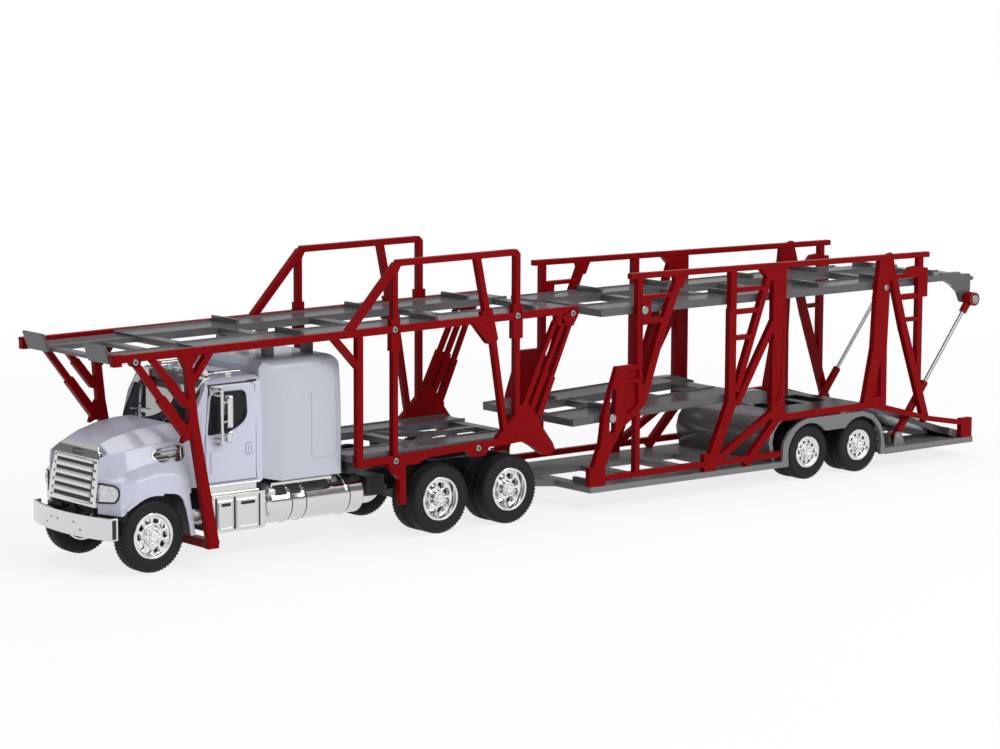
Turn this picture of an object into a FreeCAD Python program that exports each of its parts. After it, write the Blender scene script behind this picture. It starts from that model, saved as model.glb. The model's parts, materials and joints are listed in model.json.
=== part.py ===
import FreeCAD, Part
import math
import os

# Car transporter truck with its hinged two-deck trailer, a 1:32 scale toy, in millimetres.
#
# Stations run rearwards from the front axle, heights are from the ground, and +Y is the right-hand side.
# Pieces are drawn on the left or across the middle, and mirrored where the toy is symmetrical.
# save() moves each finished piece so that the origin is under the middle of the toy.

os.makedirs("parts", exist_ok=True)
V = FreeCAD.Vector

# ---------------------------------------------------------------- driving dimensions
NOSE_X = -27.0            # front of the bumper, at its middle
SHEET = 1.4               # wall of the moulded bodies
RUNNING = 0.06            # clearance round every shaft and pin
PRESS = 0.3               # how far a pin stands proud of the frame it passes through

# wheels
TYRE_R = 16.5
TYRE_W = 8.5
TRAILER_TYRE_R = 14.1
TRAILER_TYRE_W = 7.6
DUAL_GAP = 0.8            # air between the two tyres of a pair
RIM_R = 10.2
TRAILER_RIM_R = 8.0
SHAFT_R = 1.5
FRONT_FACE_Y = 32.6       # outer faces of the tyres
DRIVE_FACE_Y = 38.0
TRAILER_FACE_Y = 37.0
DRIVE_1_X = 156.5
DRIVE_2_X = 198.2
TRAILER_1_X = 395.9
TRAILER_2_X = 432.5

# truck body
FRAME_Y = 8.0             # middle of a chassis rail
FRAME_W = 3.0
AXLE_TO_RAIL = 4.5        # from the middle of an axle up to the underside of a rail
FRAME_BOT = TYRE_R + AXLE_TO_RAIL
FRAME_TOP = 29.0          # the body rests on it
WING_Y = 33.0
CAB_Y = 29.5
CAB_FRONT = 20.0
CAB_REAR = 60.6
CAB_FLOOR = 34.6
SLEEPER_Y = 30.5
SLEEPER_REAR = 105.2
SLEEPER_FLOOR = 33.0
TANK_R = 9.4

# rack on the truck
RACK_Y = 38.8             # outer face of the side frames
RACK_T = 3.2              # their thickness
RAIL_H = 3.5
RAIL_FRONT = (-24.0, 97.1)
RAIL_REAR = (239.5, 99.5)
HOOP_TOP = 130.6
DECK_FRONT = -22.0        # front end of the truck's upper deck
DECK_STEP = 24.0          # where its narrower front tracks end
STOP_IN = 16.6            # inner and outer edges of the front tracks and of their stop plates
STOP_OUT = 33.2
LOWER_DECK_TOP = 42.0
LOWER_DECK_T = 3.6
TRACK_IN = 14.8           # inner edge of the wheel tracks
LIP = 0.8                 # raised edge of a track

# roofs follow the deck above them
CAB_ROOF = RAIL_FRONT[1] - 14.6
SLEEPER_ROOF = RAIL_FRONT[1] - 8.4

# trailer
SIDE_Y = 38.1             # outer face of the side frames
SIDE_T = 3.2
TOP_RAIL_H = 2.8
TOP_RAIL_FRONT = (273.5, 112.7)
TOP_RAIL_REAR = (481.0, 110.0)
FLOOR_T = 3.0
FLOOR_FRONT = (248.5, 11.9)   # upper edge of the floor
FLOOR_REAR = (516.9, 10.4)
BOGIE_TOP = 34.4          # deck over the trailer's wheels
HITCH_X = 222.0
HITCH_R = 2.2

# moving decks
SLIP = 0.5                # side clearance of a moving deck inside the frames
DECK_Y = SIDE_Y - SIDE_T - SLIP
DECK_T = 4.0
UPPER_TOP = 97.8
UPPER_FRONT = 257.5
UPPER_REAR = 511.5
UPPER_PIVOT = (282.2, 95.8)
MID_PIVOT = (372.8, 43.8)
MID_FRONT = (240.0, 43.9)
MID_TAIL = (352.0, 47.2)
MID_DOWN = -2.4           # swing of the middle deck, degrees
MID_UP = 6.0
PIN_R = 1.5
HINGE_R = 1.2
SLOT_PIN = (262.0, 44.4)

# lift cylinders
LIFT_Y = 32.4
LIFT_LOW = (463.8, 15.2)
LIFT_EYE = (518.0, 83.5)
EYE_R = 3.5
EYE_PIN_R = 0.9
EYE_PLAY = 1.15           # the rod's eye is an open pivot, and this play round its pin takes up its drift
BARREL_R = 2.1
BARREL_LEN = 34.0
ROD_R = 1.0
LIFT_STROKE = 26.9        # how far the rod runs in when the upper deck is down

NUB_X = 522.4             # small stud behind the end bracket of the upper deck
TAIL_X = NUB_X + 1.1
MID_X = (NOSE_X + TAIL_X) / 2


# ---------------------------------------------------------------- shapes
def block(x0, x1, y0, y1, z0, z1):
    return Part.makeBox(x1 - x0, y1 - y0, z1 - z0, V(x0, y0, z0))


def rod_x(y, z, radius, x0, x1):
    return Part.makeCylinder(radius, x1 - x0, V(x0, y, z), V(1, 0, 0))


def rod_y(x, z, radius, y0, y1):
    return Part.makeCylinder(radius, y1 - y0, V(x, y0, z), V(0, 1, 0))


def rod_z(x, y, radius, z0, z1):
    return Part.makeCylinder(radius, z1 - z0, V(x, y, z0), V(0, 0, 1))


def side_place(y):
    """Puts outline points (x, z) in the upright plane at y."""
    return lambda a, b: V(a, y, b)


def plan_place(z):
    """Puts outline points (x, y) in the level plane at z."""
    return lambda a, b: V(a, b, z)


def end_place(x):
    """Puts outline points (y, z) in the plane across the toy at x."""
    return lambda a, b: V(x, a, b)


def outline(points, place, radii=0.0):
    """Closed wire through the points, each corner rounded to its radius."""
    count = len(points)
    if not isinstance(radii, (list, tuple)):
        radii = [radii] * count
    corners = []
    for k, point in enumerate(points):
        corner = V(point[0], point[1], 0)
        if radii[k] == 0:
            corners.append((corner, None, corner))
            continue
        to_last = (V(points[k - 1][0], points[k - 1][1], 0) - corner).normalize()
        following = points[(k + 1) % count]
        to_next = (V(following[0], following[1], 0) - corner).normalize()
        half = to_last.getAngle(to_next) / 2
        reach = radii[k] / math.tan(half)
        inward = (to_last + to_next).normalize()
        crown = corner + inward * (radii[k] / math.sin(half) - radii[k])
        corners.append((corner + to_last * reach, crown, corner + to_next * reach))
    edges = []
    for k, (start, crown, stop) in enumerate(corners):
        if crown is not None:
            edges.append(Part.Arc(place(start.x, start.y), place(crown.x, crown.y), place(stop.x, stop.y)).toShape())
        after = corners[(k + 1) % count][0]
        if (after - stop).Length > 1e-6:
            edges.append(Part.makeLine(place(stop.x, stop.y), place(after.x, after.y)))
    return Part.Wire(edges)


def plate(points, y0, y1, radii=0.0):
    """Upright plate with an outline in x and z, from y0 to y1."""
    return Part.Face(outline(points, side_place(y0), radii)).extrude(V(0, y1 - y0, 0))


def slab(points, z0, z1, radii=0.0):
    """Level slab with an outline in x and y, from z0 to z1."""
    return Part.Face(outline(points, plan_place(z0), radii)).extrude(V(0, 0, z1 - z0))


def beam(points, x0, x1, radii=0.0):
    """Body with an outline in y and z, from x0 to x1."""
    return Part.Face(outline(points, end_place(x0), radii)).extrude(V(x1 - x0, 0, 0))


def bar(start, end, width, y0, y1, end_width=None):
    """Straight flat member between two points (x, z)."""
    end_width = width if end_width is None else end_width
    dx = end[0] - start[0]
    dz = end[1] - start[1]
    nx = -dz / math.hypot(dx, dz) / 2
    nz = dx / math.hypot(dx, dz) / 2
    return plate([(start[0] + nx * width, start[1] + nz * width),
                  (end[0] + nx * end_width, end[1] + nz * end_width),
                  (end[0] - nx * end_width, end[1] - nz * end_width),
                  (start[0] - nx * width, start[1] - nz * width)], y0, y1)


def stepped_bar(start, end, thin, thick, share, y0, y1):
    """Strut drawn as a thin rod that runs into a thicker sleeve after a share of its length."""
    knee = (start[0] + (end[0] - start[0]) * share, start[1] + (end[1] - start[1]) * share)
    foot = rod_y(end[0], end[1], thick / 2, y0, y1)
    return join([bar(start, knee, thin, y0 + 0.4, y1 - 0.4), bar(knee, end, thick, y0, y1), foot])


def join(shapes):
    first, rest = shapes[0], shapes[1:]
    return first.fuse(rest).removeSplitter() if rest else first


def mirrored(shape):
    return shape.mirror(V(0, 0, 0), V(0, 1, 0))


def pair(shapes):
    """The pieces and their mirror images."""
    return list(shapes) + [mirrored(shape) for shape in shapes]


def both_sides(shape):
    """The left-hand piece and its mirror image, as separate solids."""
    return Part.makeCompound(shape.Solids + mirrored(shape).Solids)


def save(node, shape):
    shape = shape.copy()
    shape.translate(V(-MID_X, 0, 0))
    print("%-26s %2d solid(s) %9.1f mm3" % (node, len(shape.Solids), shape.Volume))
    shape.exportStep("parts/%s.step" % node)


def height_at(x, start, end):
    """Height at station x on the line from start to end."""
    return start[1] + (end[1] - start[1]) * (x - start[0]) / (end[0] - start[0])


def rail_z(x):
    return height_at(x, RAIL_FRONT, RAIL_REAR)


def floor_z(x):
    return height_at(x, FLOOR_FRONT, FLOOR_REAR)


def swing_slot(centre, pin, radius, down_deg, up_deg, y0, y1):
    """Space swept by a pin that swings about a centre behind it."""
    reach = math.hypot(pin[0] - centre[0], pin[1] - centre[1])
    start = math.atan2(pin[1] - centre[1], pin[0] - centre[0])
    low, high = start - math.radians(down_deg), start - math.radians(up_deg)

    def spot(angle, distance):
        return V(centre[0] + distance * math.cos(angle), y0, centre[1] + distance * math.sin(angle))

    middle = (low + high) / 2
    far = Part.Arc(spot(low, reach + radius), spot(middle, reach + radius), spot(high, reach + radius)).toShape()
    near = Part.Arc(spot(high, reach - radius), spot(middle, reach - radius), spot(low, reach - radius)).toShape()
    top = Part.makeLine(spot(high, reach + radius), spot(high, reach - radius))
    foot = Part.makeLine(spot(low, reach - radius), spot(low, reach + radius))
    body = Part.Face(Part.Wire([far, top, near, foot])).extrude(V(0, y1 - y0, 0))
    ends = [Part.makeCylinder(radius, y1 - y0, spot(angle, reach), V(0, 1, 0)) for angle in (low, high)]
    return join([body] + ends)


# ---------------------------------------------------------------- wheels
def turned(x, z, section):
    """Solid of revolution about the axle line at (x, z), from a list of (radius, y)."""
    wire = Part.makePolygon([V(x, y, z + r) for r, y in section + section[:1]])
    return Part.Face(wire).revolve(V(x, 0, z), V(0, 1, 0), 360)


def tyre(x, radius, width, rim_r, face_y):
    """Tyre on the left with rounded shoulders; its outer face is at -face_y."""
    y0 = -face_y
    y1 = y0 + width
    round_r = width * 0.24
    points = [(rim_r, y0 + 0.5), (radius, y0 + 0.1), (radius, y1 - 0.1), (rim_r, y1 - 0.5)]
    wire = outline(points, lambda r, y: V(x, y, radius + r), [0.6, round_r, round_r, 0.6])
    return Part.Face(wire).revolve(V(x, 0, radius), V(0, 1, 0), 360)


def rim(x, z, rim_r, face_y, width, dish, hub_r, hub_out, holes):
    """Disc wheel: a lip at the outer face, a sunken disc with hand holes, and a hub that stands out."""
    y0 = -face_y + 0.3
    y1 = -face_y + width - 0.6
    disc = y0 + dish
    nave = disc - hub_out
    body = turned(x, z, [
        (0, nave), (hub_r * 0.55, nave), (hub_r * 0.62, nave + 0.8), (hub_r, nave + 1.0), (hub_r + 0.5, disc),
        (rim_r - 1.6, disc - 0.25 * dish), (rim_r - 1.0, y0), (rim_r, y0), (rim_r, y1), (rim_r - 1.0, y1),
        (rim_r - 1.4, disc + 1.4), (0, disc + 1.4)])
    ring_r = (hub_r + 0.5 + rim_r - 1.6) / 2
    hole_r = (rim_r - 1.6 - hub_r - 0.5) * 0.30
    for k in range(2 * holes):
        turn = 2 * math.pi * (k // 2 + 0.5) / holes + (k % 2 - 0.5) * 0.75 * hole_r / ring_r
        body = body.cut(rod_y(x + ring_r * math.sin(turn), z + ring_r * math.cos(turn), hole_r, disc - dish, disc + 2))
    return body


AXLES = [
    # name, station, tyre radius, tyre width, rim radius, outer face, dual, dish, hub radius, hub stand-out, holes
    ("front", 0.0, TYRE_R, TYRE_W, RIM_R, FRONT_FACE_Y, False, 1.4, 4.4, 2.2, 10),
    ("drive_1", DRIVE_1_X, TYRE_R, TYRE_W, RIM_R, DRIVE_FACE_Y, True, 3.6, 3.4, 4.0, 8),
    ("drive_2", DRIVE_2_X, TYRE_R, TYRE_W, RIM_R, DRIVE_FACE_Y, True, 3.6, 3.4, 4.0, 8),
    ("trailer_1", TRAILER_1_X, TRAILER_TYRE_R, TRAILER_TYRE_W, TRAILER_RIM_R, TRAILER_FACE_Y, True, 1.2, 3.4, 2.4, 10),
    ("trailer_2", TRAILER_2_X, TRAILER_TYRE_R, TRAILER_TYRE_W, TRAILER_RIM_R, TRAILER_FACE_Y, True, 1.2, 3.4, 2.4, 10),
]


def build_axles():
    for name, x, radius, width, rim_r, face_y, dual, dish, hub_r, hub_out, holes in AXLES:
        tyres = [tyre(x, radius, width, rim_r, face_y)]
        wheel = rim(x, radius, rim_r, face_y, width, dish, hub_r, hub_out, holes)
        if dual:
            inner = face_y - width - DUAL_GAP
            tyres.append(tyre(x, radius, width, rim_r, inner))
            drum = turned(x, radius, [
                (0, -face_y + dish + 1.2), (rim_r * 0.4, -face_y + dish + 1.2), (rim_r * 0.4, -face_y + width - 1.0),
                (rim_r, -face_y + width - 1.0), (rim_r, -inner + width - 0.6), (0, -inner + width - 0.6)])
            wheel = join([wheel, drum])
        save(name + "_tyres", both_sides(Part.makeCompound(tyres)))
        reach = face_y - dish - 1.0
        save(name + "_wheelset", join([rod_y(x, radius, SHAFT_R, -reach, reach), wheel, mirrored(wheel)]))


# ---------------------------------------------------------------- truck: chassis
def build_chassis():
    rails = [block(-16.0, HITCH_X - 2, s * FRAME_Y - FRAME_W / 2, s * FRAME_Y + FRAME_W / 2, FRAME_BOT, FRAME_TOP)
             for s in (-1, 1)]
    ties = [block(x, x + 4, -FRAME_Y, FRAME_Y, FRAME_BOT + 1, FRAME_TOP - 1) for x in (-14, 26, 60, 100, 140, 177)]
    mounts = []
    for x, top in ((78, SLEEPER_FLOOR), (96, SLEEPER_FLOOR), (24, CAB_FLOOR), (50, CAB_FLOOR),
                   (108.5, LOWER_DECK_TOP - LOWER_DECK_T), (150.5, LOWER_DECK_TOP - LOWER_DECK_T),
                   (196.5, LOWER_DECK_TOP - LOWER_DECK_T)):
        mounts += [block(x, x + 5, s * FRAME_Y - 1.5, s * FRAME_Y + 1.5, FRAME_TOP - 1, top) for s in (-1, 1)]
    head = block(DRIVE_2_X + 12, HITCH_X + 6, -FRAME_Y - 1.5, FRAME_Y + 1.5, 13.4, 17.0)
    drop = block(DRIVE_2_X + 12, DRIVE_2_X + 17, -FRAME_Y - 1.5, FRAME_Y + 1.5, 13.4, FRAME_TOP)
    pin = rod_z(HITCH_X, 0, HITCH_R, 8.0, 13.6)
    hanger = block(26.4, 29.4, -FRAME_Y, FRAME_Y, 12.0, FRAME_BOT + 2)
    radiator = block(-15.2, -13.2, -17.0, 17.0, 26.0, 49.0)
    boxes = pair([block(SLEEPER_REAR + 1, 112.5, -33.0, -FRAME_Y, 33.4, LOWER_DECK_TOP - LOWER_DECK_T),
                  block(122.0, 132.0, -26.0, -FRAME_Y, 20.0, FRAME_TOP)])
    save("chassis_frame", join(rails + ties + mounts + [head, drop, pin, hanger, radiator] + boxes))
    beams = []
    for x, half in ((0.0, 22.0), (DRIVE_1_X, 19.0), (DRIVE_2_X, 19.0)):
        axle = block(x - 4, x + 4, -half, half, TYRE_R - 3.4, TYRE_R + 3.4)
        spring = block(x - 11, x + 11, -FRAME_Y - 2.2, -FRAME_Y + 2.2, TYRE_R + 2.0, FRAME_BOT)
        axle = join([axle] + pair([spring]))
        beams += axle.cut(rod_y(x, TYRE_R, SHAFT_R + RUNNING, -half - 1, half + 1)).Solids
    save("axle_beams", Part.makeCompound(beams))


# ---------------------------------------------------------------- truck: bonnet and nose
BONNET_STATIONS = [
    # x, wing half width, wing foot z, wing crown z, shelf y, shelf z, crease y, crease z, top y, top z
    (-20.6, 19.8, 27.0, 41.5, 19.6, 42.4, 19.3, 50.4, 12.0, 52.6),
    (-15.6, 30.2, 26.6, 40.8, 24.5, 43.0, 21.0, 52.4, 13.0, 56.4),
    (-9.0, 33.0, 26.6, 41.6, 27.0, 45.4, 23.6, 54.0, 14.0, 59.0),
    (2.0, 33.0, 26.6, 43.6, 28.4, 48.6, 26.2, 55.8, 15.0, 61.6),
    (12.0, 33.0, 26.6, 43.0, 29.4, 48.4, 28.0, 57.2, 16.0, 62.6),
    (20.0, 32.4, 22.0, 40.0, 29.8, 46.0, 28.8, 57.8, 16.0, 62.8),
]
ARCH_X = 0.6              # middle of the wheel opening
ARCH_GAP = 1.5
ARCH_LIP = 0.4            # how far the rim of the opening stands out from the wing


def bonnet_solid(inset):
    """The bonnet and wings as one solid, every section drawn in by the inset."""
    wires = []
    for row in BONNET_STATIONS:
        x, wing_y, foot, crown, shelf_y, shelf_z, crease_y, crease_z, top_y, top_z = row
        left = [(wing_y - inset, foot - 6 * inset), (wing_y - inset, crown - inset), (shelf_y - inset, shelf_z - inset),
                (crease_y - inset, crease_z - inset), (top_y, top_z - inset)]
        half = [(-y, z) for y, z in left]
        points = half + [(y, z) for y, z in reversed(left)]
        radii = [0, 2.4, 1.6, 1.0, 3.0, 3.0, 1.0, 1.6, 2.4, 0]
        if x < -18:
            radii = [0, 0.2, 0.2, 1.0, 3.0, 3.0, 1.0, 0.2, 0.2, 0]
        wires.append(outline(points, end_place(x), radii))
    return Part.makeLoft(wires, True, True)


def build_nose(cab):
    outer = bonnet_solid(0.0)
    inner = bonnet_solid(SHEET)
    inner.translate(V(0.6, 0, 0))
    nose_hole = block(-30.0, -15.2, -19.4, 19.4, 20.0, 60.0)
    arch = rod_y(ARCH_X, TYRE_R, TYRE_R + ARCH_GAP, -WING_Y - 1, WING_Y + 1)
    below = block(-14.5, ARCH_X + TYRE_R + ARCH_GAP, -WING_Y - 1, WING_Y + 1, 5.0, TYRE_R)
    tail = plate([(14.0, 30.0), (17.0, 14.5), (22.4, 14.5), (20.6, 32.0), (19.0, 36.0)], -WING_Y + 0.2, -WING_Y + 2.2)
    ring = rod_y(ARCH_X, TYRE_R, TYRE_R + ARCH_GAP + 1.5, -WING_Y - 1, WING_Y + 1)
    ring = ring.cut(block(-30.0, 30.0, -22.0, 22.0, 0.0, 60.0)).cut(block(-30.0, 30.0, -40.0, 40.0, 0.0, 27.4))
    lips = bonnet_solid(-ARCH_LIP).common(ring).cut(inner)
    shell = join([outer.cut(inner)] + lips.Solids + pair([tail]))
    shell = shell.cut(nose_hole).cut(arch).cut(below).cut(cab)
    shell = shell.cut(block(-16.5, 21.0, -FRAME_Y - 3, FRAME_Y + 3, 5.0, FRAME_TOP + 3))
    save("bonnet", shell)

    cap = beam([(-19.2, 29.6), (-19.2, 51.4), (-12.6, 55.9), (12.6, 55.9), (19.2, 51.4), (19.2, 29.6)],
               -24.0, -15.2, [0, 3.0, 4.0, 4.0, 3.0, 0])
    surround = plate([(-22.0, 29.6), (-18.9, 50.6), (-17.6, 53.8), (-15.2, 55.8), (-15.2, 29.6)], -19.2, 19.2,
                     [0, 1.0, 1.5, 0, 0])
    pocket = plate([(-20.6, 31.2), (-17.8, 49.6), (-15.0, 49.6), (-15.0, 31.2)], -17.6, 17.6)
    grille = surround.common(cap).cut(pocket)
    for k in range(6):
        z = 31.9 + 3.05 * k
        grille = grille.cut(block(-25.0, -15.0, -14.8, 14.8, z, z + 1.3))
    save("grille", grille)

    front = [(-20.6, -19.8), (-15.6, -30.2)]
    lamp = slab([front[0], front[1], (front[1][0] - 1.2, front[1][1] - 0.3), (front[0][0] - 1.2, front[0][1] - 0.4)],
                33.0, 40.6)
    save("headlamps", both_sides(lamp.cut(shell)))

    skin = []
    for grow in (0.0, SHEET):
        span = WING_Y - 1.2
        wire = Part.Wire([
            Part.Arc(V(-21.8 + grow, -span, 16.5), V(NOSE_X + grow, 0, 16.5), V(-21.8 + grow, span, 16.5)).toShape(),
            Part.makeLine(V(-21.8 + grow, span, 16.5), V(0, span, 16.5)),
            Part.makeLine(V(0, span, 16.5), V(0, -span, 16.5)),
            Part.makeLine(V(0, -span, 16.5), V(-21.8 + grow, -span, 16.5))])
        skin.append(Part.Face(wire).extrude(V(0, 0, 9.9)))
    blade = skin[0].cut(skin[1])
    ends = pair([block(-20.6, -18.2, -WING_Y + 1.2, -WING_Y + 2.2, 16.5, 26.4)])
    arms = [block(-26.2, -16.0, s * FRAME_Y - 1.5, s * FRAME_Y + 1.5, 21.5, 25.5) for s in (-1, 1)]
    save("bumper", join([blade] + ends + arms))

    vent = plate([(-1.0, 51.2), (1.6, 53.8), (15.6, 55.2), (17.6, 53.6), (17.0, 50.4), (14.0, 49.4), (2.0, 49.6)],
                 -31.2, -24.0, 1.0)
    vent = vent.cut(outer)
    rim_cut = vent.common(block(-5.0, 20.0, -29.6, -20.0, 45.0, 60.0))
    save("bonnet_vents", both_sides(rim_cut))


# ---------------------------------------------------------------- truck: cab and sleeper
def three_way(side, side_radii, end, end_radii, plan, plan_radii):
    """Body that has the given outlines from the side (x, z), from the end (y, z) and from above (x, y)."""
    body = plate(side, -60.0, 60.0, side_radii)
    body = body.common(beam(end, -60.0, 160.0, end_radii))
    return body.common(slab(plan, 0.0, 160.0, plan_radii))


def cab_solid(inset):
    t = inset
    side = [(CAB_FRONT + t, CAB_FLOOR + t), (CAB_FRONT + t, 58.0), (CAB_FRONT + 11.6 + t, CAB_ROOF - 1.6 - t),
            (CAB_FRONT + 16.0, CAB_ROOF - t), (CAB_REAR - t, CAB_ROOF - t), (CAB_REAR - t, CAB_FLOOR + t)]
    end = [(-CAB_Y + t, CAB_FLOOR), (-CAB_Y + t, 60.0), (-CAB_Y + 1.8 + t, CAB_ROOF - t),
           (CAB_Y - 1.8 - t, CAB_ROOF - t), (CAB_Y - t, 60.0), (CAB_Y - t, CAB_FLOOR)]
    plan = [(CAB_FRONT + t, -24.0), (CAB_FRONT + 8.5 + t, -CAB_Y), (CAB_REAR, -CAB_Y), (CAB_REAR, CAB_Y),
            (CAB_FRONT + 8.5 + t, CAB_Y), (CAB_FRONT + t, 24.0)]
    return three_way(side, [0, 0, 1.5, 3.0, 2.0, 0], end, [0, 0, 5.0, 5.0, 0, 0],
                     plan, [2.0, 3.0, 0, 0, 3.0, 2.0])


def sleeper_solid(inset):
    t = inset
    side = [(CAB_REAR + t, SLEEPER_FLOOR + 2.4 + t), (72.0, SLEEPER_FLOOR + t), (SLEEPER_REAR - t, SLEEPER_FLOOR + t),
            (SLEEPER_REAR - 2.0 - t, SLEEPER_ROOF - t), (CAB_REAR + 2.4, SLEEPER_ROOF - t),
            (CAB_REAR + t, SLEEPER_ROOF - 3.4 - t)]
    end = [(-SLEEPER_Y + t, SLEEPER_FLOOR + t), (-SLEEPER_Y + t, 66.0), (-SLEEPER_Y + 1.0 + t, SLEEPER_ROOF - t),
           (SLEEPER_Y - 1.0 - t, SLEEPER_ROOF - t), (SLEEPER_Y - t, 66.0), (SLEEPER_Y - t, SLEEPER_FLOOR + t)]
    plan = [(CAB_REAR + t, -27.0 + t), (CAB_REAR + 11.0, -SLEEPER_Y + t), (SLEEPER_REAR - t, -SLEEPER_Y + t),
            (SLEEPER_REAR - t, SLEEPER_Y - t), (CAB_REAR + 11.0, SLEEPER_Y - t), (CAB_REAR + t, 27.0 - t)]
    return three_way(side, [0, 2.0, 0.8, 5.0, 2.0, 1.0], end, [1.0, 0, 6.0, 6.0, 0, 1.0],
                     plan, [0, 8.0, 2.5, 2.5, 8.0, 0])


def groove(points, radius, y_face, depth, width):
    """Shallow moulded line round an outline on the left-hand side face at -y_face."""
    middle_x = sum(p[0] for p in points) / len(points)
    middle_z = sum(p[1] for p in points) / len(points)
    small = []
    for x, z in points:
        small.append((x + (width if x < middle_x else -width), z + (width if z < middle_z else -width)))
    ring = plate(points, -y_face - 1, -y_face + depth, radius)
    return ring.cut(plate(small, -y_face - 2, -y_face + depth + 1, max(radius - width, 0.1)))


def build_cab():
    outer = cab_solid(0.0)
    inner = cab_solid(SHEET)
    top = CAB_ROOF - 5.8
    window = plate([(30.4, 57.4), (33.6, top), (52.6, top), (53.0, 63.4), (44.0, 58.4)], -CAB_Y - 1, CAB_Y + 1,
                   [1.5, 2.5, 2.5, 4.0, 3.0])
    screen = plate([(14.0, 60.0), (14.0, top + 1.0), (42.0, top + 1.0), (30.0, 60.0)], -25.4, 25.4)
    shell = outer.cut(inner).cut(window).cut(screen)
    seams = groove([(29.6, 35.8), (29.6, 56.0), (32.6, CAB_ROOF - 2.6), (57.4, CAB_ROOF - 2.6), (57.4, 35.8)],
                   1.5, CAB_Y, 0.35, 0.5)
    for side in pair([seams]):
        shell = shell.cut(side)
    save("cab_shell", shell)
    glass = cab_solid(0.25).cut(cab_solid(1.05))
    save("cab_glass", Part.makeCompound(glass.common(window).Solids + glass.common(screen).Solids))
    floor_top = CAB_FLOOR + SHEET
    seats = [block(42.0, 54.0, s * 13.0 - 8.0, s * 13.0 + 8.0, floor_top, floor_top + 8.0) for s in (-1, 1)]
    backs = [plate([(50.0, floor_top + 7), (53.0, floor_top + 28), (56.0, floor_top + 28), (55.0, floor_top + 7)],
                   s * 13.0 - 7.5, s * 13.0 + 7.5) for s in (-1, 1)]
    dash = plate([(CAB_FRONT + 2.0, floor_top + 12), (CAB_FRONT + 2.6, floor_top + 21.4),
                  (CAB_FRONT + 9.0, floor_top + 19), (CAB_FRONT + 11.0, floor_top + 12)], -22.0, 22.0)
    column = block(CAB_FRONT + 3.0, CAB_FRONT + 8.0, -3.0, 3.0, floor_top, floor_top + 13)
    floor = block(CAB_FRONT + 3.0, 56.0, -24.0, 24.0, floor_top, floor_top + 1.0)
    save("cab_interior", join(seats + backs + [dash, column, floor]))
    visor = plate([(CAB_FRONT + 6.6, CAB_ROOF - 6.2), (CAB_FRONT + 7.6, CAB_ROOF - 5.2), (CAB_FRONT + 12.0, CAB_ROOF - 0.2),
                   (CAB_FRONT + 15.5, CAB_ROOF + 0.7), (CAB_FRONT + 15.5, CAB_ROOF - 4.0), (CAB_FRONT + 9.5, CAB_ROOF - 6.2)],
                  -25.0, 25.0)
    save("sun_visor", visor.cut(cab_solid(0.0)))
    lamps = [block(CAB_FRONT + 17.0, CAB_FRONT + 20.0, y - 1.5, y + 1.5, CAB_ROOF - 0.2, CAB_ROOF + 1.2)
             for y in (-16.0, -6.0, 0.0, 6.0, 16.0)]
    horn = join([rod_x(-21.0, CAB_ROOF + 1.6, 0.9, CAB_FRONT + 18.0, CAB_FRONT + 34.0),
                 Part.makeCone(1.7, 0.9, 4.0, V(CAB_FRONT + 16.0, -21.0, CAB_ROOF + 1.6), V(1, 0, 0)),
                 block(CAB_FRONT + 26.0, CAB_FRONT + 29.0, -21.8, -20.2, CAB_ROOF - 1.6, CAB_ROOF + 1.4)])
    fittings = [piece.cut(outer) for piece in lamps + pair([horn])]
    save("roof_horns", Part.makeCompound([s for f in fittings for s in f.Solids]))
    return outer


def build_sleeper():
    shell = sleeper_solid(0.0).cut(sleeper_solid(SHEET))
    panel = groove([(87.0, 41.4), (87.0, 75.0), (101.4, 75.0), (101.4, 41.4)], 3.0, SLEEPER_Y, 0.3, 0.5)
    for side in pair([panel]):
        shell = shell.cut(side)
    save("sleeper_box", shell)


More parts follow.
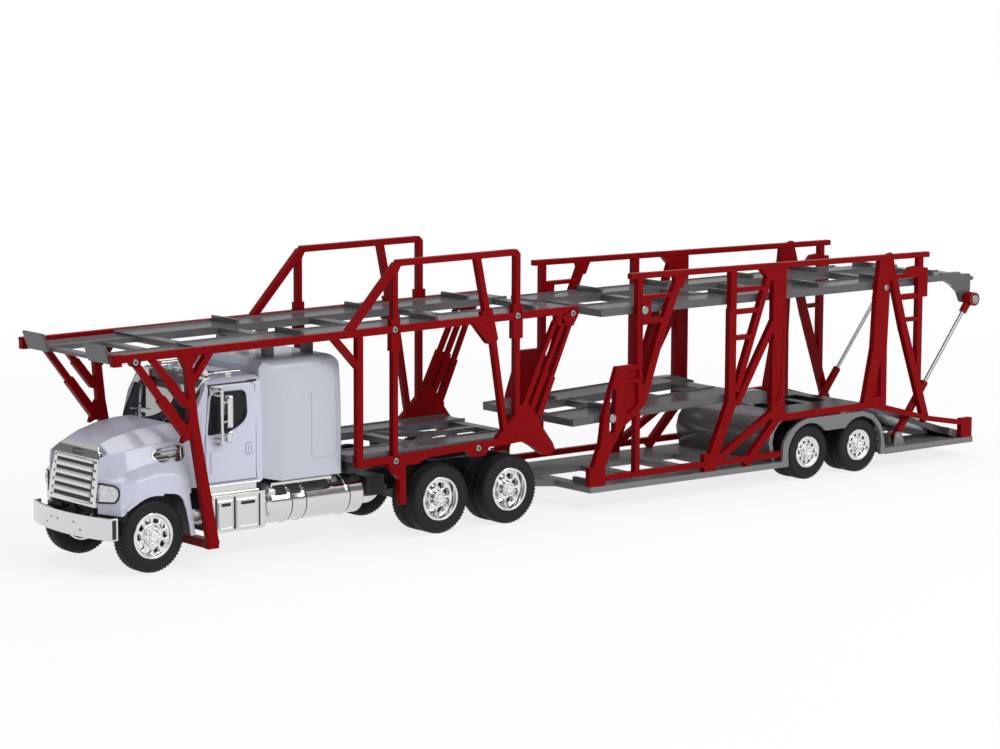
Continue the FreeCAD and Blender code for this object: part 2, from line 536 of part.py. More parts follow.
def build_cab_fittings(cab):
    post = rod_z(35.6, -34.4, 0.8, 53.4, 78.6)
    head = block(37.4, 39.6, -36.8, -32.6, 61.0, 75.6)
    low_head = block(37.4, 39.6, -36.2, -33.0, 55.0, 59.4)
    arms = [block(34.9, 36.3, -34.4, -27.0, 77.4, 78.6), block(34.9, 36.3, -34.4, -27.0, 53.4, 54.6),
            block(35.6, 38.0, -35.0, -33.8, 67.0, 68.2), block(35.6, 38.0, -35.0, -33.8, 56.6, 57.8)]
    mirror = join([post, head, low_head] + arms).cut(cab)
    save("mirrors", both_sides(mirror))

    upper = plate([(31.0, 30.0), (31.0, 34.2), (57.0, 34.2), (57.0, 30.0)], -30.0, -16.0)
    lower = plate([(31.4, 13.5), (31.4, 30.5), (60.4, 30.5), (60.4, 13.5)], -32.0, -13.0, [1.0, 0, 0, 2.0])
    panels = [block(34.2, 42.8, -32.5, -31.0, 15.0, 28.0), block(44.4, 56.4, -32.5, -31.0, 15.0, 28.0)]
    saddle = [block(x, x + 4, -14.0, -FRAME_Y - FRAME_W / 2, 22.0, 27.0) for x in (36.0, 50.0)]
    save("step_boxes", both_sides(join([upper, lower] + panels + saddle)))

    axis_y, axis_z = -23.4, 22.8
    tank = rod_x(axis_y, axis_z, TANK_R, 64.0, 115.0)
    domes = [Part.makeCone(TANK_R * 0.72, TANK_R, 2.4, V(61.6, axis_y, axis_z), V(1, 0, 0)),
             Part.makeCone(TANK_R, TANK_R * 0.72, 2.4, V(115.0, axis_y, axis_z), V(1, 0, 0))]
    straps = [rod_x(axis_y, axis_z, TANK_R + 0.35, x, x + 1.8) for x in (72.6, 80.6, 105.2)]
    tread = block(66.0, 100.0, axis_y - 5.0, axis_y + 5.0, axis_z + TANK_R - 1.6, axis_z + TANK_R + 0.3)
    saddle = [block(x, x + 3, -FRAME_Y - 6.8, -FRAME_Y - FRAME_W / 2, 22.0, 26.0) for x in (72.0, 96.0)]
    tanks = join([tank] + domes + straps + [tread] + saddle)
    save("fuel_tanks", both_sides(tanks.cut(sleeper_solid(0.0))))


# ---------------------------------------------------------------- truck: rack
R0 = -RACK_Y
R1 = -RACK_Y + RACK_T


def build_rack():
    rail = bar(RAIL_FRONT, RAIL_REAR, RAIL_H, R0, R1)
    knob = block(RAIL_FRONT[0], RAIL_FRONT[0] + 4.4, R0, R1, 93.9, 99.3)
    lug = plate([(229.0, 99.0), (239.5, 99.0), (239.5, 97.0), (236.1, 91.7), (232.0, 91.7), (229.0, 97.0)], R0, R1)
    column = block(225.5, 229.0, R0, R1, 92.6, 98.6)
    eye = rod_y(-12.5, rail_z(-12.5) - 1.4, 2.8, R0, R1)
    rails = join([rail, knob, lug, column, eye])
    save("rack_upper_rails", both_sides(rails))

    leg = plate([(13.0, 96.6), (16.5, 96.6), (19.8, 67.1), (30.4, 11.6), (30.4, 8.5), (24.6, 8.5), (24.6, 12.4),
                 (15.6, 66.0)], R0, R1)
    legs = join([
        leg,
        stepped_bar((-13.2, 96.0), (14.6, 60.4), 3.0, 4.2, 0.5, R0, R1),
        stepped_bar((-3.8, 96.0), (13.6, 74.8), 2.8, 3.8, 0.45, R0, R1),
        bar((26.6, 96.5), (17.0, 84.0), 3.2, R0, R1),
        plate([(11.2, 57.2), (19.6, 61.0), (18.6, 70.0), (14.6, 67.0)], R0, R1),
        plate([(9.6, 97.0), (13.4, 90.0), (16.2, 90.0), (21.4, 97.0)], R0, R1)]).cut(rails)
    foot_bar = block(25.0, 30.4, R0, -R0, 8.5, 12.0)
    save("rack_legs", join([foot_bar] + legs.Solids + mirrored(legs).Solids))

    lower = join([
        bar((107.0, 37.7), (200.0, 40.3), 3.3, R0, R1),
        plate([(125.0, 34.8), (143.0, 34.8), (147.0, 37.4), (147.0, 39.0), (125.0, 38.6)], R0, R1),
        plate([(171.3, 38.0), (174.0, 34.6), (182.5, 34.6), (185.1, 38.6)], R0, R1),
        block(107.1, 110.6, R0, R1, 36.3, rail_z(107)),
        bar((93.5, rail_z(93.5)), (109.0, 82.0), 3.0, R0, R1),
        plate([(125.0, 35.0), (131.3, 28.5), (131.6, 16.5), (135.3, 16.5), (134.9, 35.0)], R0, R1),
        plate([(190.0, 42.5), (200.5, 52.0), (204.4, 57.5), (208.0, 57.5), (216.8, 47.6), (216.6, 45.9), (219.4, 42.2),
               (223.9, 36.5), (225.4, 32.9), (222.0, 30.8), (217.3, 31.4), (211.2, 35.7), (205.6, 38.8),
               (190.0, 38.6)], R0, R1, [0, 0, 1.2, 1.2, 1, 0, 1, 1, 1.2, 1.2, 1, 0, 0, 0])]).cut(rails)
    save("rack_lower_rails", both_sides(lower))

    hoop = join([
        plate([(127.6, HOOP_TOP - 4.6), (130.6, HOOP_TOP - 0.2), (201.2, HOOP_TOP + 0.2), (203.2, HOOP_TOP - 1.8),
               (203.2, HOOP_TOP - 6.0), (200.2, HOOP_TOP - 6.0), (200.2, HOOP_TOP - 2.8), (132.2, HOOP_TOP - 3.2),
               (130.6, HOOP_TOP - 6.0)], R0, R1),
        bar((102.0, rail_z(102)), (130.2, HOOP_TOP - 2.4), 3.4, R0, R1),
        block(127.6, 130.6, R0, R1, 36.0, HOOP_TOP - 4.0),
        block(200.2, 203.2, R0, R1, 50.0, HOOP_TOP - 4.0),
        bar((177.6, HOOP_TOP - 2.0), (183.4, 102.0), 3.2, R0, R1),
        bar((183.0, 103.5), (186.8, 88.0), 6.5, R0, R1),
        bar((187.2, 90.0), (194.6, 46.0), 3.0, R0, R1),
        block(126.5, 131.8, R0, R1, 88.5, 103.9),
        block(198.8, 204.8, R0, R1, 88.4, 104.8),
        bar((165.0, 97.0), (185.5, 89.5), 3.0, R0, R1)]).cut(rails).cut(lower)
    save("rack_hoops", both_sides(hoop))
    struts = []
    for top, low, share in (((225.6, 94.6), (206.0, 56.0), 0.55), ((230.4, 93.6), (210.6, 54.0), 0.55),
                            ((234.6, 92.4), (214.8, 49.0), 0.55)):
        struts += stepped_bar(top, low, 2.2, 3.2, share, R0, R1).cut(lower).cut(rails).cut(hoop).Solids
    whole = [piece for piece in struts if piece.Volume > 20]
    save("rack_struts", Part.makeCompound(join(whole).Solids + mirrored(join(whole)).Solids))


# ---------------------------------------------------------------- decks
def track_deck(x0, x1, y_out, top, thick, ties, tie_w, chocks, y_in=TRACK_IN):
    """Two wheel tracks with raised edges, tied by cross members, with chock bars across the tracks."""
    parts = []
    for s in (-1, 1):
        low, high = sorted((s * y_out, s * y_in))
        track = block(x0, x1, low, high, top - thick, top)
        parts.append(track.cut(block(x0 - 1, x1 + 1, low + LIP, high - LIP, top - LIP * 0.6, top + 1)))
        parts += [block(x, x + 1.6, low + 0.2, high - 0.2, top - LIP, top + 2.2) for x in chocks]
    parts += [block(x, x + tie_w, -y_in - 0.5, y_in + 0.5, top - thick, top - 0.8) for x in ties]
    return parts


def build_truck_decks():
    slope = math.degrees(math.atan2(RAIL_REAR[1] - RAIL_FRONT[1], RAIL_REAR[0] - RAIL_FRONT[0]))
    top = rail_z(DECK_FRONT) + RAIL_H / 2 - 0.4
    wide = RACK_Y - RACK_T
    parts = track_deck(DECK_STEP, 239.0, wide, top, 3.6, (DECK_STEP, 68, 120, 172, 230), 6, (78, 155, 214))
    parts += track_deck(DECK_FRONT, DECK_STEP + 2, STOP_OUT, top - 1.2, 2.4, (DECK_FRONT + 1, 6), 5, (), STOP_IN)
    deck = join(parts)
    deck.rotate(V(DECK_FRONT, 0, top), V(0, 1, 0), -slope)
    stop = plate([(DECK_FRONT - 0.6, 94.6), (DECK_FRONT - 3.6, 102.7), (DECK_FRONT - 2.4, 102.9),
                  (DECK_FRONT + 0.6, 96.4), (DECK_FRONT + 0.6, 95.0)], -STOP_OUT, -STOP_IN)
    feet = [block(x, x + 4, -20.0, -15.5, SLEEPER_ROOF - 2, top - 2.0) for x in (70.0, 92.0)]
    feet = [foot.cut(sleeper_solid(0.0)) for foot in feet]
    whole = join([deck] + pair([stop] + feet))
    save("truck_upper_deck", whole)

    parts = track_deck(106.0, 216.0, wide, LOWER_DECK_TOP, LOWER_DECK_T, (108, 150, 206), 6, (), 18.5)
    bottom = LOWER_DECK_TOP - LOWER_DECK_T
    for s in (-1, 1):
        parts.append(slab([(152.0, s * 19.0), (156.0, s * 19.0), (182.0, s * 1.0), (178.0, s * -1.0)],
                          bottom + 0.6, LOWER_DECK_TOP - 0.8))
    parts.append(block(178.0, 182.0, -3.0, 3.0, bottom + 0.6, LOWER_DECK_TOP - 0.8))
    parts.append(block(180.0, 208.0, -2.0, 2.0, bottom + 0.6, LOWER_DECK_TOP - 0.8))
    save("truck_lower_deck", join(parts))


# ---------------------------------------------------------------- trailer
S0 = -SIDE_Y
S1 = -SIDE_Y + SIDE_T


def floor_strip(x0, x1, y0, y1, down=0.0, up=0.0):
    """Length of the floor, which falls slightly towards the tail."""
    return plate([(x0, floor_z(x0) - FLOOR_T - down), (x1, floor_z(x1) - FLOOR_T - down),
                  (x1, floor_z(x1) + up), (x0, floor_z(x0) + up)], y0, y1)


def build_trailer_frames():
    floor_line = floor_strip(240, 520, -60, 60)
    rail = bar(TOP_RAIL_FRONT, TOP_RAIL_REAR, TOP_RAIL_H, S0, S1)
    save("trailer_top_rails", both_sides(rail))

    slot = swing_slot(MID_PIVOT, SLOT_PIN, PIN_R + 0.2, MID_DOWN - 0.5, MID_UP + 0.5, S0 - 1, S1 + 1)
    cheek = plate([(250.0, 21.3), (254.8, 32.8), (257.0, 47.5), (264.9, 69.4), (280.6, 69.4), (282.8, 56.0),
                   (282.4, 48.7), (274.4, 42.5), (268.5, 38.9), (262.5, 30.0), (258.0, 21.0), (258.0, 12.0),
                   (250.0, 12.0)], S0, S1, [0, 4, 4, 1, 0, 0, 0, 4, 6, 0, 2, 0, 0])
    recess = plate([(266.8, 49.0), (271.6, 60.6), (278.2, 60.6), (278.8, 50.4), (273.0, 45.4)], S0 - 1, S0 + 1.5, 1.0)
    loop = plate([(270.6, 62.6), (272.2, 66.8), (279.0, 66.8), (279.4, 62.6)], S0 - 1, S0 + 1.5, 0.6)
    front = join([
        cheek.cut(recess).cut(loop),
        block(247.8, 255.9, S0, S1, 10.0, 21.5),
        block(277.8, 281.3, S0, S1, 68.0, 111.6),
        block(277.0, 280.0, S0, S1, 15.0, 46.0),
        bar((280.0, 101.9), (301.0, 101.9), 2.0, S0, S1),
        bar((280.0, 90.1), (296.0, 90.1), 2.4, S0, S1),
        plate([(280.0, 91.0), (280.0, 103.0), (286.6, 101.6), (286.6, 91.0)], S0, S1),
        plate([(301.4, 112.0), (310.8, 112.0), (307.4, 105.0), (303.8, 105.0)], S0, S1),
        bar((306.2, 111.5), (293.6, 84.0), 4.4, S0, S1),
        bar((294.2, 85.5), (281.5, 50.0), 4.4, S0, S1)])
    front = front.cut(rail).cut(slot).cut(floor_line)
    peg = rod_y(UPPER_PIVOT[0], UPPER_PIVOT[1], PIN_R, S0 - PRESS, -DECK_Y + 6)
    front = join([front, peg])
    save("trailer_front_frames", both_sides(front))

    middle = join([
        block(339.5, 343.6, S0, S1, 43.0, 111.0),
        block(338.8, 343.6, S0, S1, 43.0, 92.0),
        bar((342.0, 46.0), (328.0, 16.0), 6.0, S0, S1),
        block(323.0, 331.4, S0, S1, 10.0, 20.4),
        plate([(358.0, 112.0), (369.4, 112.0), (369.4, 104.0), (366.4, 104.0)], S0, S1),
        bar((367.6, 110.5), (344.5, 50.0), 3.6, S0, S1),
        bar((342.0, 101.0), (365.0, 101.0), 2.4, S0, S1),
        bar((342.0, 90.0), (361.0, 90.0), 2.4, S0, S1),
        bar((342.0, 77.0), (356.0, 77.0), 2.4, S0, S1),
        bar((370.6, 84.0), (345.0, 43.5), 3.6, S0, S1),
        block(368.7, 377.8, S0, S1, 32.0, 110.5),
        bar((374.6, 39.4), (329.0, 15.0), 3.4, S0, S1),
        bar((374.6, 35.0), (351.4, 12.0), 4.0, S0, S1)])
    bore = rod_y(MID_PIVOT[0], MID_PIVOT[1], HINGE_R + RUNNING, S0 - 1, S1 + 1)
    middle = middle.cut(rail).cut(bore).cut(floor_line)
    save("trailer_middle_frames", both_sides(middle))

    low = join([
        bar((248.5, 15.4), (376.2, 15.2), 2.9, S0, S1),
        bar((370.0, 33.7), (441.0, 34.4), 3.4, S0, S1),
        plate([(436.0, 32.8), (436.0, 36.0), (441.0, 36.0), (484.0, 24.4), (508.6, 20.0), (508.6, 17.2),
               (484.0, 21.6), (441.0, 32.6)], S0, S1),
        block(507.8, 516.0, S0, S1, 8.0, 20.8)])
    low = low.cut(front).cut(middle).cut(floor_line)
    save("trailer_lower_rails", both_sides(Part.makeCompound([s for s in low.Solids if s.Volume > 8])))

    post = plate([(444.6, 111.0), (451.6, 111.0), (452.0, 94.0), (450.6, 64.0), (450.8, 33.0), (433.6, 33.0),
                  (440.4, 64.0), (441.9, 90.0)], S0, S1)
    notch = plate([(446.2, 56.0), (446.6, 38.4), (440.2, 38.4)], S0 - 1, S0 + 1.6)
    rear = join([
        post.cut(notch),
        bar((451.2, 112.0), (463.4, 72.0), 4.3, S0, S1),
        bar((462.8, 74.0), (481.4, 22.0), 4.4, S0, S1),
        block(472.8, 476.4, S0, S1, 43.0, 111.0),
        bar((452.0, 99.8), (474.0, 99.8), 2.4, S0, S1),
        bar((457.0, 88.8), (474.0, 88.8), 2.8, S0, S1),
        bar((461.0, 76.8), (474.0, 76.8), 2.1, S0, S1),
        block(474.3, 479.8, S0, S1, 88.0, 103.2),
        plate([(463.0, 100.0), (467.0, 104.0), (474.0, 104.6), (474.0, 100.0)], S0, S1)]).cut(rail).cut(low)
    save("trailer_rear_frames", both_sides(rear))


def build_trailer_body():
    inner = SIDE_Y - SIDE_T
    tracks = []
    for s in (-1, 1):
        for x0, x1 in ((FLOOR_FRONT[0], 377.0), (450.5, FLOOR_REAR[0])):
            low, high = sorted((s * SIDE_Y, s * 15.0))
            tracks.append(floor_strip(x0, x1, low, high))
    ties = [floor_strip(x0, x1, -15.5, 15.5)
            for x0, x1 in ((248.5, 256), (288, 295), (324, 331), (350, 377), (450.5, 458), (482, 488), (508, 516.9))]
    keel = floor_strip(370, 458, -12, 12)
    chocks = [floor_strip(254, 256, s * 26.0 - 8, s * 26.0 + 8, -FLOOR_T + 0.5, 2.2) for s in (-1, 1)]
    tongue = slab([(HITCH_X - 5, -5.0), (240.0, -6.0), (250.0, -12.0), (250.0, 12.0), (240.0, 6.0),
                   (HITCH_X - 5, 5.0)], floor_z(249) - FLOOR_T, floor_z(249) + 0.4)
    tongue = tongue.cut(rod_z(HITCH_X, 0, HITCH_R + RUNNING, 0, 20))
    arch = plate([(376.6, floor_z(377) - FLOOR_T), (377.2, 20.0), (381.6, 26.0), (388.0, 30.0), (394.0, 31.8),
                  (434.0, 31.8), (441.6, 29.4), (447.0, 24.0), (449.4, 18.0), (451.0, floor_z(450) - FLOOR_T)],
                 S0, S0 + 2.0, [0, 6, 6, 6, 2, 6, 6, 6, 2, 0])
    for x in (TRAILER_1_X, TRAILER_2_X):
        arch = arch.cut(rod_y(x, TRAILER_TYRE_R, TRAILER_TYRE_R + 1.0, S0 - 1, S1 + 1))
    arch = arch.cut(block(381.1, 447.3, S0 - 1, S1 + 1, 0, TRAILER_TYRE_R + 1))
    arch = arch.cut(block(399.0, 430.0, S0 - 1, S1 + 1, 0, 24.2))
    ear = plate([(LIFT_LOW[0] - 3.4, 9.5), (LIFT_LOW[0] - 2.2, LIFT_LOW[1] + 2.4), (LIFT_LOW[0] + 2.2, LIFT_LOW[1] + 2.4),
                 (LIFT_LOW[0] + 5.4, 9.5)], -LIFT_Y - 2.4, -LIFT_Y + 3.9, [0, 1.6, 1.6, 0])
    ear = ear.cut(block(LIFT_LOW[0] - 8, LIFT_LOW[0] + 8, -LIFT_Y - 1.5, -LIFT_Y + 1.5, 11.6, 30))
    pin = rod_y(LIFT_LOW[0], LIFT_LOW[1], 1.0, -LIFT_Y - 2.4, -LIFT_Y + 3.9)
    body = join(tracks + ties + chocks + [keel, tongue] + pair([arch, ear, pin]))
    well = pair([rod_y(LIFT_LOW[0], LIFT_LOW[1], 2.5, -LIFT_Y - 1.5, -LIFT_Y + 1.5).cut(pin)])
    for space in well:
        body = body.cut(space)
    save("trailer_floor", body)

    deck = block(381.0, 442.0, -inner, inner, BOGIE_TOP - 2.0, BOGIE_TOP)
    for x0, x1 in ((388, 400), (405, 417), (422, 434)):
        deck = deck.cut(block(x0, x1, -12, 12, 20, 50))
    save("bogie_deck", deck)

    nose = [(372.4, 11.0), (370.0, 21.0), (371.6, 27.0), (375.6, 31.6), (381.0, BOGIE_TOP)]
    back = [(381.0, BOGIE_TOP - 2.0), (376.8, 29.6), (373.8, 26.0), (372.6, 21.0), (374.6, 11.0)]
    floor_line = floor_strip(240, 520, -60, 60)
    save("front_hump", plate(nose + back, -inner, inner).cut(floor_line))

    tail = 512.0
    ramp = plate([(442.0, BOGIE_TOP - 2), (442.0, BOGIE_TOP), (tail, floor_z(tail) + 2.6), (tail + 4.0, floor_z(tail)),
                  (tail - 4.0, floor_z(tail - 4) - 0.4)], -inner, inner).cut(floor_line)
    clear = pair([block(453.0, 502.0, -SIDE_Y, -LIFT_Y + BARREL_R + 1.0, 10, 40)])
    for space in clear:
        ramp = ramp.cut(space)
    for k in range(9):
        x0 = 447.0 + 6.8 * k
        ramp = ramp.cut(block(x0, x0 + 3.2, -13, 13, 5, 40))
    save("rear_ramp", ramp)

    beams = []
    for x in (TRAILER_1_X, TRAILER_2_X):
        axle = block(x - 3.5, x + 3.5, -20.0, 20.0, 8.0, BOGIE_TOP - 2.0).cut(floor_line)
        axle = axle.cut(rod_y(x, TRAILER_TYRE_R, SHAFT_R + RUNNING, -21, 21))
        beams += [s for s in axle.Solids if s.CenterOfMass.z > floor_z(x)]
    save("trailer_axle_beams", Part.makeCompound(beams))


# ---------------------------------------------------------------- moving decks and lift cylinders
def build_moving_decks():
    chocks = (300, 345, 404, 452, 492)
    parts = track_deck(UPPER_FRONT, UPPER_REAR, DECK_Y, UPPER_TOP, DECK_T, (262, 300, 340, 380, 420, 460, 503), 6, chocks)
    deck = join(parts)
    for side in pair([block(483.0, UPPER_REAR + 1, -DECK_Y - 1, -DECK_Y + 4.7, 80, 110)]):
        deck = deck.cut(side)
    horn = plate([(500.0, UPPER_TOP - 3.0), (508.2, 90.6), (512.8, 86.8), (LIFT_EYE[0] - 2.4, LIFT_EYE[1] - 2.2),
                  (LIFT_EYE[0] + 2.4, LIFT_EYE[1] - 2.2), (521.2, 88.0), (521.2, 96.4), (514.7, 96.4),
                  (512.8, UPPER_TOP), (500.0, UPPER_TOP)], -29.7, -26.6, [0, 3.0, 3.0, 1.0, 1.0, 1.0, 0.8, 0.4, 0, 0])
    eye_pin = rod_y(LIFT_EYE[0], LIFT_EYE[1], EYE_PIN_R, -LIFT_Y - 3.6, -29.0)
    nub = rod_y(NUB_X, 93.9, 1.1, -29.7, -26.6)
    link = block(520.8, NUB_X, -29.7, -26.6, 93.2, 94.6)
    deck = join([deck] + pair([horn, eye_pin, nub, link]))
    for side in pair([rod_y(UPPER_PIVOT[0], UPPER_PIVOT[1], PIN_R + RUNNING, -DECK_Y - 1, -DECK_Y + 6.3)]):
        deck = deck.cut(side)
    save("upper_deck", deck)

    length = math.hypot(MID_TAIL[0] - MID_FRONT[0], MID_TAIL[1] - MID_FRONT[1])
    slope = math.degrees(math.atan2(MID_TAIL[1] - MID_FRONT[1], MID_TAIL[0] - MID_FRONT[0]))
    top = MID_FRONT[1] + DECK_T / 2
    parts = track_deck(MID_FRONT[0], MID_FRONT[0] + length, DECK_Y, top, DECK_T, (240, 276, 312, 346), 6, (268,), 12.5)
    deck = join(parts)
    deck.rotate(V(MID_FRONT[0], 0, MID_FRONT[1]), V(0, 1, 0), -slope)
    tail = plate([(348.0, 44.6), (348.0, MID_TAIL[1] + 1.6), (364.0, MID_TAIL[1] + 1.6), (376.4, 45.2), (376.4, 41.8),
                  (356.0, 41.8)], -DECK_Y, -DECK_Y + 6.0)
    cross = block(366.0, 370.0, -DECK_Y, DECK_Y, 42.0, 45.4)
    hinge = rod_y(MID_PIVOT[0], MID_PIVOT[1], HINGE_R, S0 - PRESS, -DECK_Y + 2)
    peg = rod_y(SLOT_PIN[0], SLOT_PIN[1], PIN_R, S0 - PRESS, -DECK_Y + 2)
    save("mid_deck", join([deck, cross] + pair([tail, hinge, peg])))


def build_lifts():
    length = math.hypot(LIFT_EYE[0] - LIFT_LOW[0], LIFT_EYE[1] - LIFT_LOW[1])
    tilt = math.degrees(math.atan2(LIFT_EYE[0] - LIFT_LOW[0], LIFT_EYE[1] - LIFT_LOW[1]))
    for side, name in ((-1, "left"), (1, "right")):
        y = side * LIFT_Y
        foot = V(LIFT_LOW[0], y, LIFT_LOW[1])
        lug = rod_y(foot.x, foot.z, 2.1, y - 1.4, y + 1.4)
        barrel = join([lug, rod_z(foot.x, foot.y, 1.4, foot.z + 1.0, foot.z + 4.0),
                       rod_z(foot.x, foot.y, BARREL_R, foot.z + 3.0, foot.z + BARREL_LEN)])
        barrel = barrel.cut(rod_y(foot.x, foot.z, 1.0 + RUNNING, y - 3, y + 3))
        barrel = barrel.cut(rod_z(foot.x, foot.y, ROD_R + RUNNING, foot.z + 4.0, foot.z + BARREL_LEN + 1))
        stem = rod_z(foot.x, foot.y, ROD_R, foot.z + LIFT_STROKE + 4.6, foot.z + length - 2.0)
        collar = rod_z(foot.x, foot.y, 1.9, foot.z + length - 8.0, foot.z + length - 2.0)
        inner_face, outer_face = y - side * 1.8, y + side * 4.0
        eye = rod_y(foot.x, foot.z + length, EYE_R, min(inner_face, outer_face), max(inner_face, outer_face))
        rod = join([stem, collar, eye]).cut(rod_y(foot.x, foot.z + length, EYE_PIN_R + EYE_PLAY, y - 5, y + 5))
        for shape in (barrel, rod):
            shape.rotate(foot, V(0, 1, 0), tilt)
        save("lift_barrel_" + name, barrel)
        save("lift_rod_" + name, rod)


build_axles()
build_chassis()
cab_body = build_cab()
build_nose(cab_body)
build_sleeper()
build_cab_fittings(cab_body)
build_rack()
build_truck_decks()
build_trailer_frames()
build_trailer_body()
build_moving_decks()
build_lifts()
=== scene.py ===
# %% [markdown]
# # A toy car transporter
# The truck and its hinged trailer arrive as CAD nodes: frames, decks, cab, wheels and lift cylinders.
# This script gives each its finish, softens the mouldings, and adds what is too small or too shiny for
# the CAD model: tread, nuts, screws, lenses, wipers, seals and slats. It first loads the frame.

import json
import math

import bmesh
import bpy
from mathutils import Matrix, Vector


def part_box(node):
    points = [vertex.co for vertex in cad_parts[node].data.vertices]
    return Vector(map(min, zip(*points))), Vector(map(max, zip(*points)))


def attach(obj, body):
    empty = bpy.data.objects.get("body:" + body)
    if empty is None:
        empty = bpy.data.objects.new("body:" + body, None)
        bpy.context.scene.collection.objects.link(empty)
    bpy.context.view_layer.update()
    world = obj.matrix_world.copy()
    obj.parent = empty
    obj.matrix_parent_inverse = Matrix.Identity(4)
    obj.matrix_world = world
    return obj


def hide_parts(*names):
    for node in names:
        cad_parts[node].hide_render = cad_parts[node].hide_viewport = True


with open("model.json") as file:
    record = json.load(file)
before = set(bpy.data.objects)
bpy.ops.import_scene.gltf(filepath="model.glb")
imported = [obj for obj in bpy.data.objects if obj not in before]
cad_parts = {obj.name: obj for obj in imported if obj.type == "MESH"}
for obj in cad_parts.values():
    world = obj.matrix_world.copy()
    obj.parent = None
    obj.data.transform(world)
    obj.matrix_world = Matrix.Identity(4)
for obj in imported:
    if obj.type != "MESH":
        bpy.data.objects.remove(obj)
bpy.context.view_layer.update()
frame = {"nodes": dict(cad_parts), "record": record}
MM = 0.001

# %% [markdown]
# The CAD draws the truck in millimetres, with stations measured rearwards from the front axle, the left
# side at negative y and the ground at zero. They are used here too, and the axle's place is read from
# its wheels, so they hold wherever the toy stands.

# %% Stations
front_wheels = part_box("front_wheelset")
AXLE_X = (front_wheels[0][0] + front_wheels[1][0]) / 2


def at(x, y, z):
    """Point in metres from a station, an offset and a height in millimetres."""
    return Vector((AXLE_X + x * MM, y * MM, z * MM))


def middle_of(node):
    """Station and height of the middle of a node, in millimetres."""
    low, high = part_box(node)
    return ((low[0] + high[0]) / 2 - AXLE_X) / MM, (low[2] + high[2]) / 2 / MM


AXLES = {name: middle_of(name + "_wheelset") for name in ("front", "drive_1", "drive_2", "trailer_1", "trailer_2")}
print("axles at", [round(x, 1) for x, z in AXLES.values()])

# %% [markdown]
# The toy has four finishes: coloured moulded plastic, glossy paint, bright plating and rubber. One recipe
# serves them all: a base colour with a faint cloud, a roughness that varies a little, and a very fine
# bump for the grain of the mould. Each could be wired by hand in the shader editor, but one recipe keeps
# them alike, as on the toy.

# %% The recipe for a finish
finishes = {}
COAT_ROUGHNESS = 0.06
CLOUD_SCALE = 60.0
GRAIN_DEPTH = 0.0001


def set_up(thing, **settings):
    for key, value in settings.items():
        setattr(thing, key, value)
    return thing


def fed(node, feeds):
    """The node, with each named socket fed a value or the output of another node."""
    for socket, feed in feeds.items():
        if isinstance(feed, bpy.types.NodeSocket):
            node.id_data.links.new(feed, node.inputs[socket])
        else:
            node.inputs[socket].default_value = feed
    return node


def add_node(tree, kind, feeds=None, **settings):
    """New node in a tree, set up before its sockets are fed."""
    return fed(set_up(tree.nodes.new(kind), **settings), feeds or {})


def finish(name, colour, roughness, metallic=0.0, coat=0.0, grain=0.0, grain_size=900.0, cloud=0.06, shine=0.5):
    """Material with a faint cloud in its colour and roughness, and a fine grain bump."""
    material = bpy.data.materials.new(name)
    material.use_nodes = True
    tree = material.node_tree
    shader = fed(tree.nodes["Principled BSDF"], {"Metallic": metallic, "Coat Weight": coat,
                                                 "Coat Roughness": COAT_ROUGHNESS, "Specular IOR Level": shine})
    place = add_node(tree, "ShaderNodeTexCoord").outputs["Object"]
    noise = add_node(tree, "ShaderNodeTexNoise", {"Vector": place, "Scale": CLOUD_SCALE, "Detail": 3.0}).outputs["Fac"]
    darker = (*[c * (1 - cloud) for c in colour], 1.0)
    lighter = (*[min(1.0, c * (1 + cloud)) for c in colour], 1.0)
    shades = add_node(tree, "ShaderNodeMix", {0: noise, 6: darker, 7: lighter}, data_type="RGBA")
    polish = add_node(tree, "ShaderNodeMapRange", {"Value": noise, "To Min": roughness * 0.85,
                                                   "To Max": min(1.0, roughness * 1.15)})
    fed(shader, {"Base Color": shades.outputs[2], "Roughness": polish.outputs["Result"]})
    if grain:
        fine = add_node(tree, "ShaderNodeTexNoise", {"Vector": place, "Scale": grain_size}).outputs["Fac"]
        bump = add_node(tree, "ShaderNodeBump", {"Strength": grain, "Distance": GRAIN_DEPTH, "Height": fine})
        fed(shader, {"Normal": bump.outputs["Normal"]})
    finishes[name] = material
    return material


# %% [markdown]
# Most colours are the toy's own: a deep red for the rack and side frames, greys for the decks, a cool
# white for the cab and a duller one for the sleeper, and plating for the trim. The bogie deck's near black
# is the trailer's grey darkened as painted shade. They are plain numbers, because a flat moulded colour
# needs no painted map.

# %% Plastics, paint, plating and rubber
finish("rack red", (0.212, 0.0014, 0.0032), 0.28, grain=0.10, cloud=0.03, shine=0.05)
finish("deck grey", (0.092, 0.090, 0.095), 0.24, grain=0.10, cloud=0.04, shine=0.42)
finish("floor grey", (0.170, 0.168, 0.168), 0.34, grain=0.12, cloud=0.04)
finish("bulkhead grey", (0.18, 0.175, 0.178), 0.18, grain=0.12, cloud=0.04)
# The trailer's grey, darkened as painted shade for the bogie deck.
finish("bogie grey", (0.016, 0.0155, 0.016), 0.26, grain=0.12, cloud=0.04, shine=0.35)
finish("cab white", (0.58, 0.595, 0.70), 0.18, coat=0.3, grain=0.02, cloud=0.0)
finish("sleeper white", (0.52, 0.545, 0.605), 0.26, coat=0.2, grain=0.02, cloud=0.0)
finish("seam grey", (0.19, 0.195, 0.23), 0.40, cloud=0.0)
finish("bright plating", (0.66, 0.66, 0.65), 0.07, metallic=1.0, cloud=0.03, grain=0.06, grain_size=350.0)
finish("wheel plating", (0.76, 0.76, 0.755), 0.10, metallic=1.0, cloud=0.03, grain=0.04, grain_size=400.0)
finish("lamp silver", (0.56, 0.58, 0.60), 0.14, metallic=0.9, coat=1.0, grain=1.0, grain_size=420.0)
finish("chassis black", (0.016, 0.016, 0.017), 0.42, grain=0.10)
# Black for rubber seals and mirror glass, and also for pads and sheets of painted shade in holes, gaps and openings.
finish("seal black", (0.010, 0.010, 0.011), 0.50)
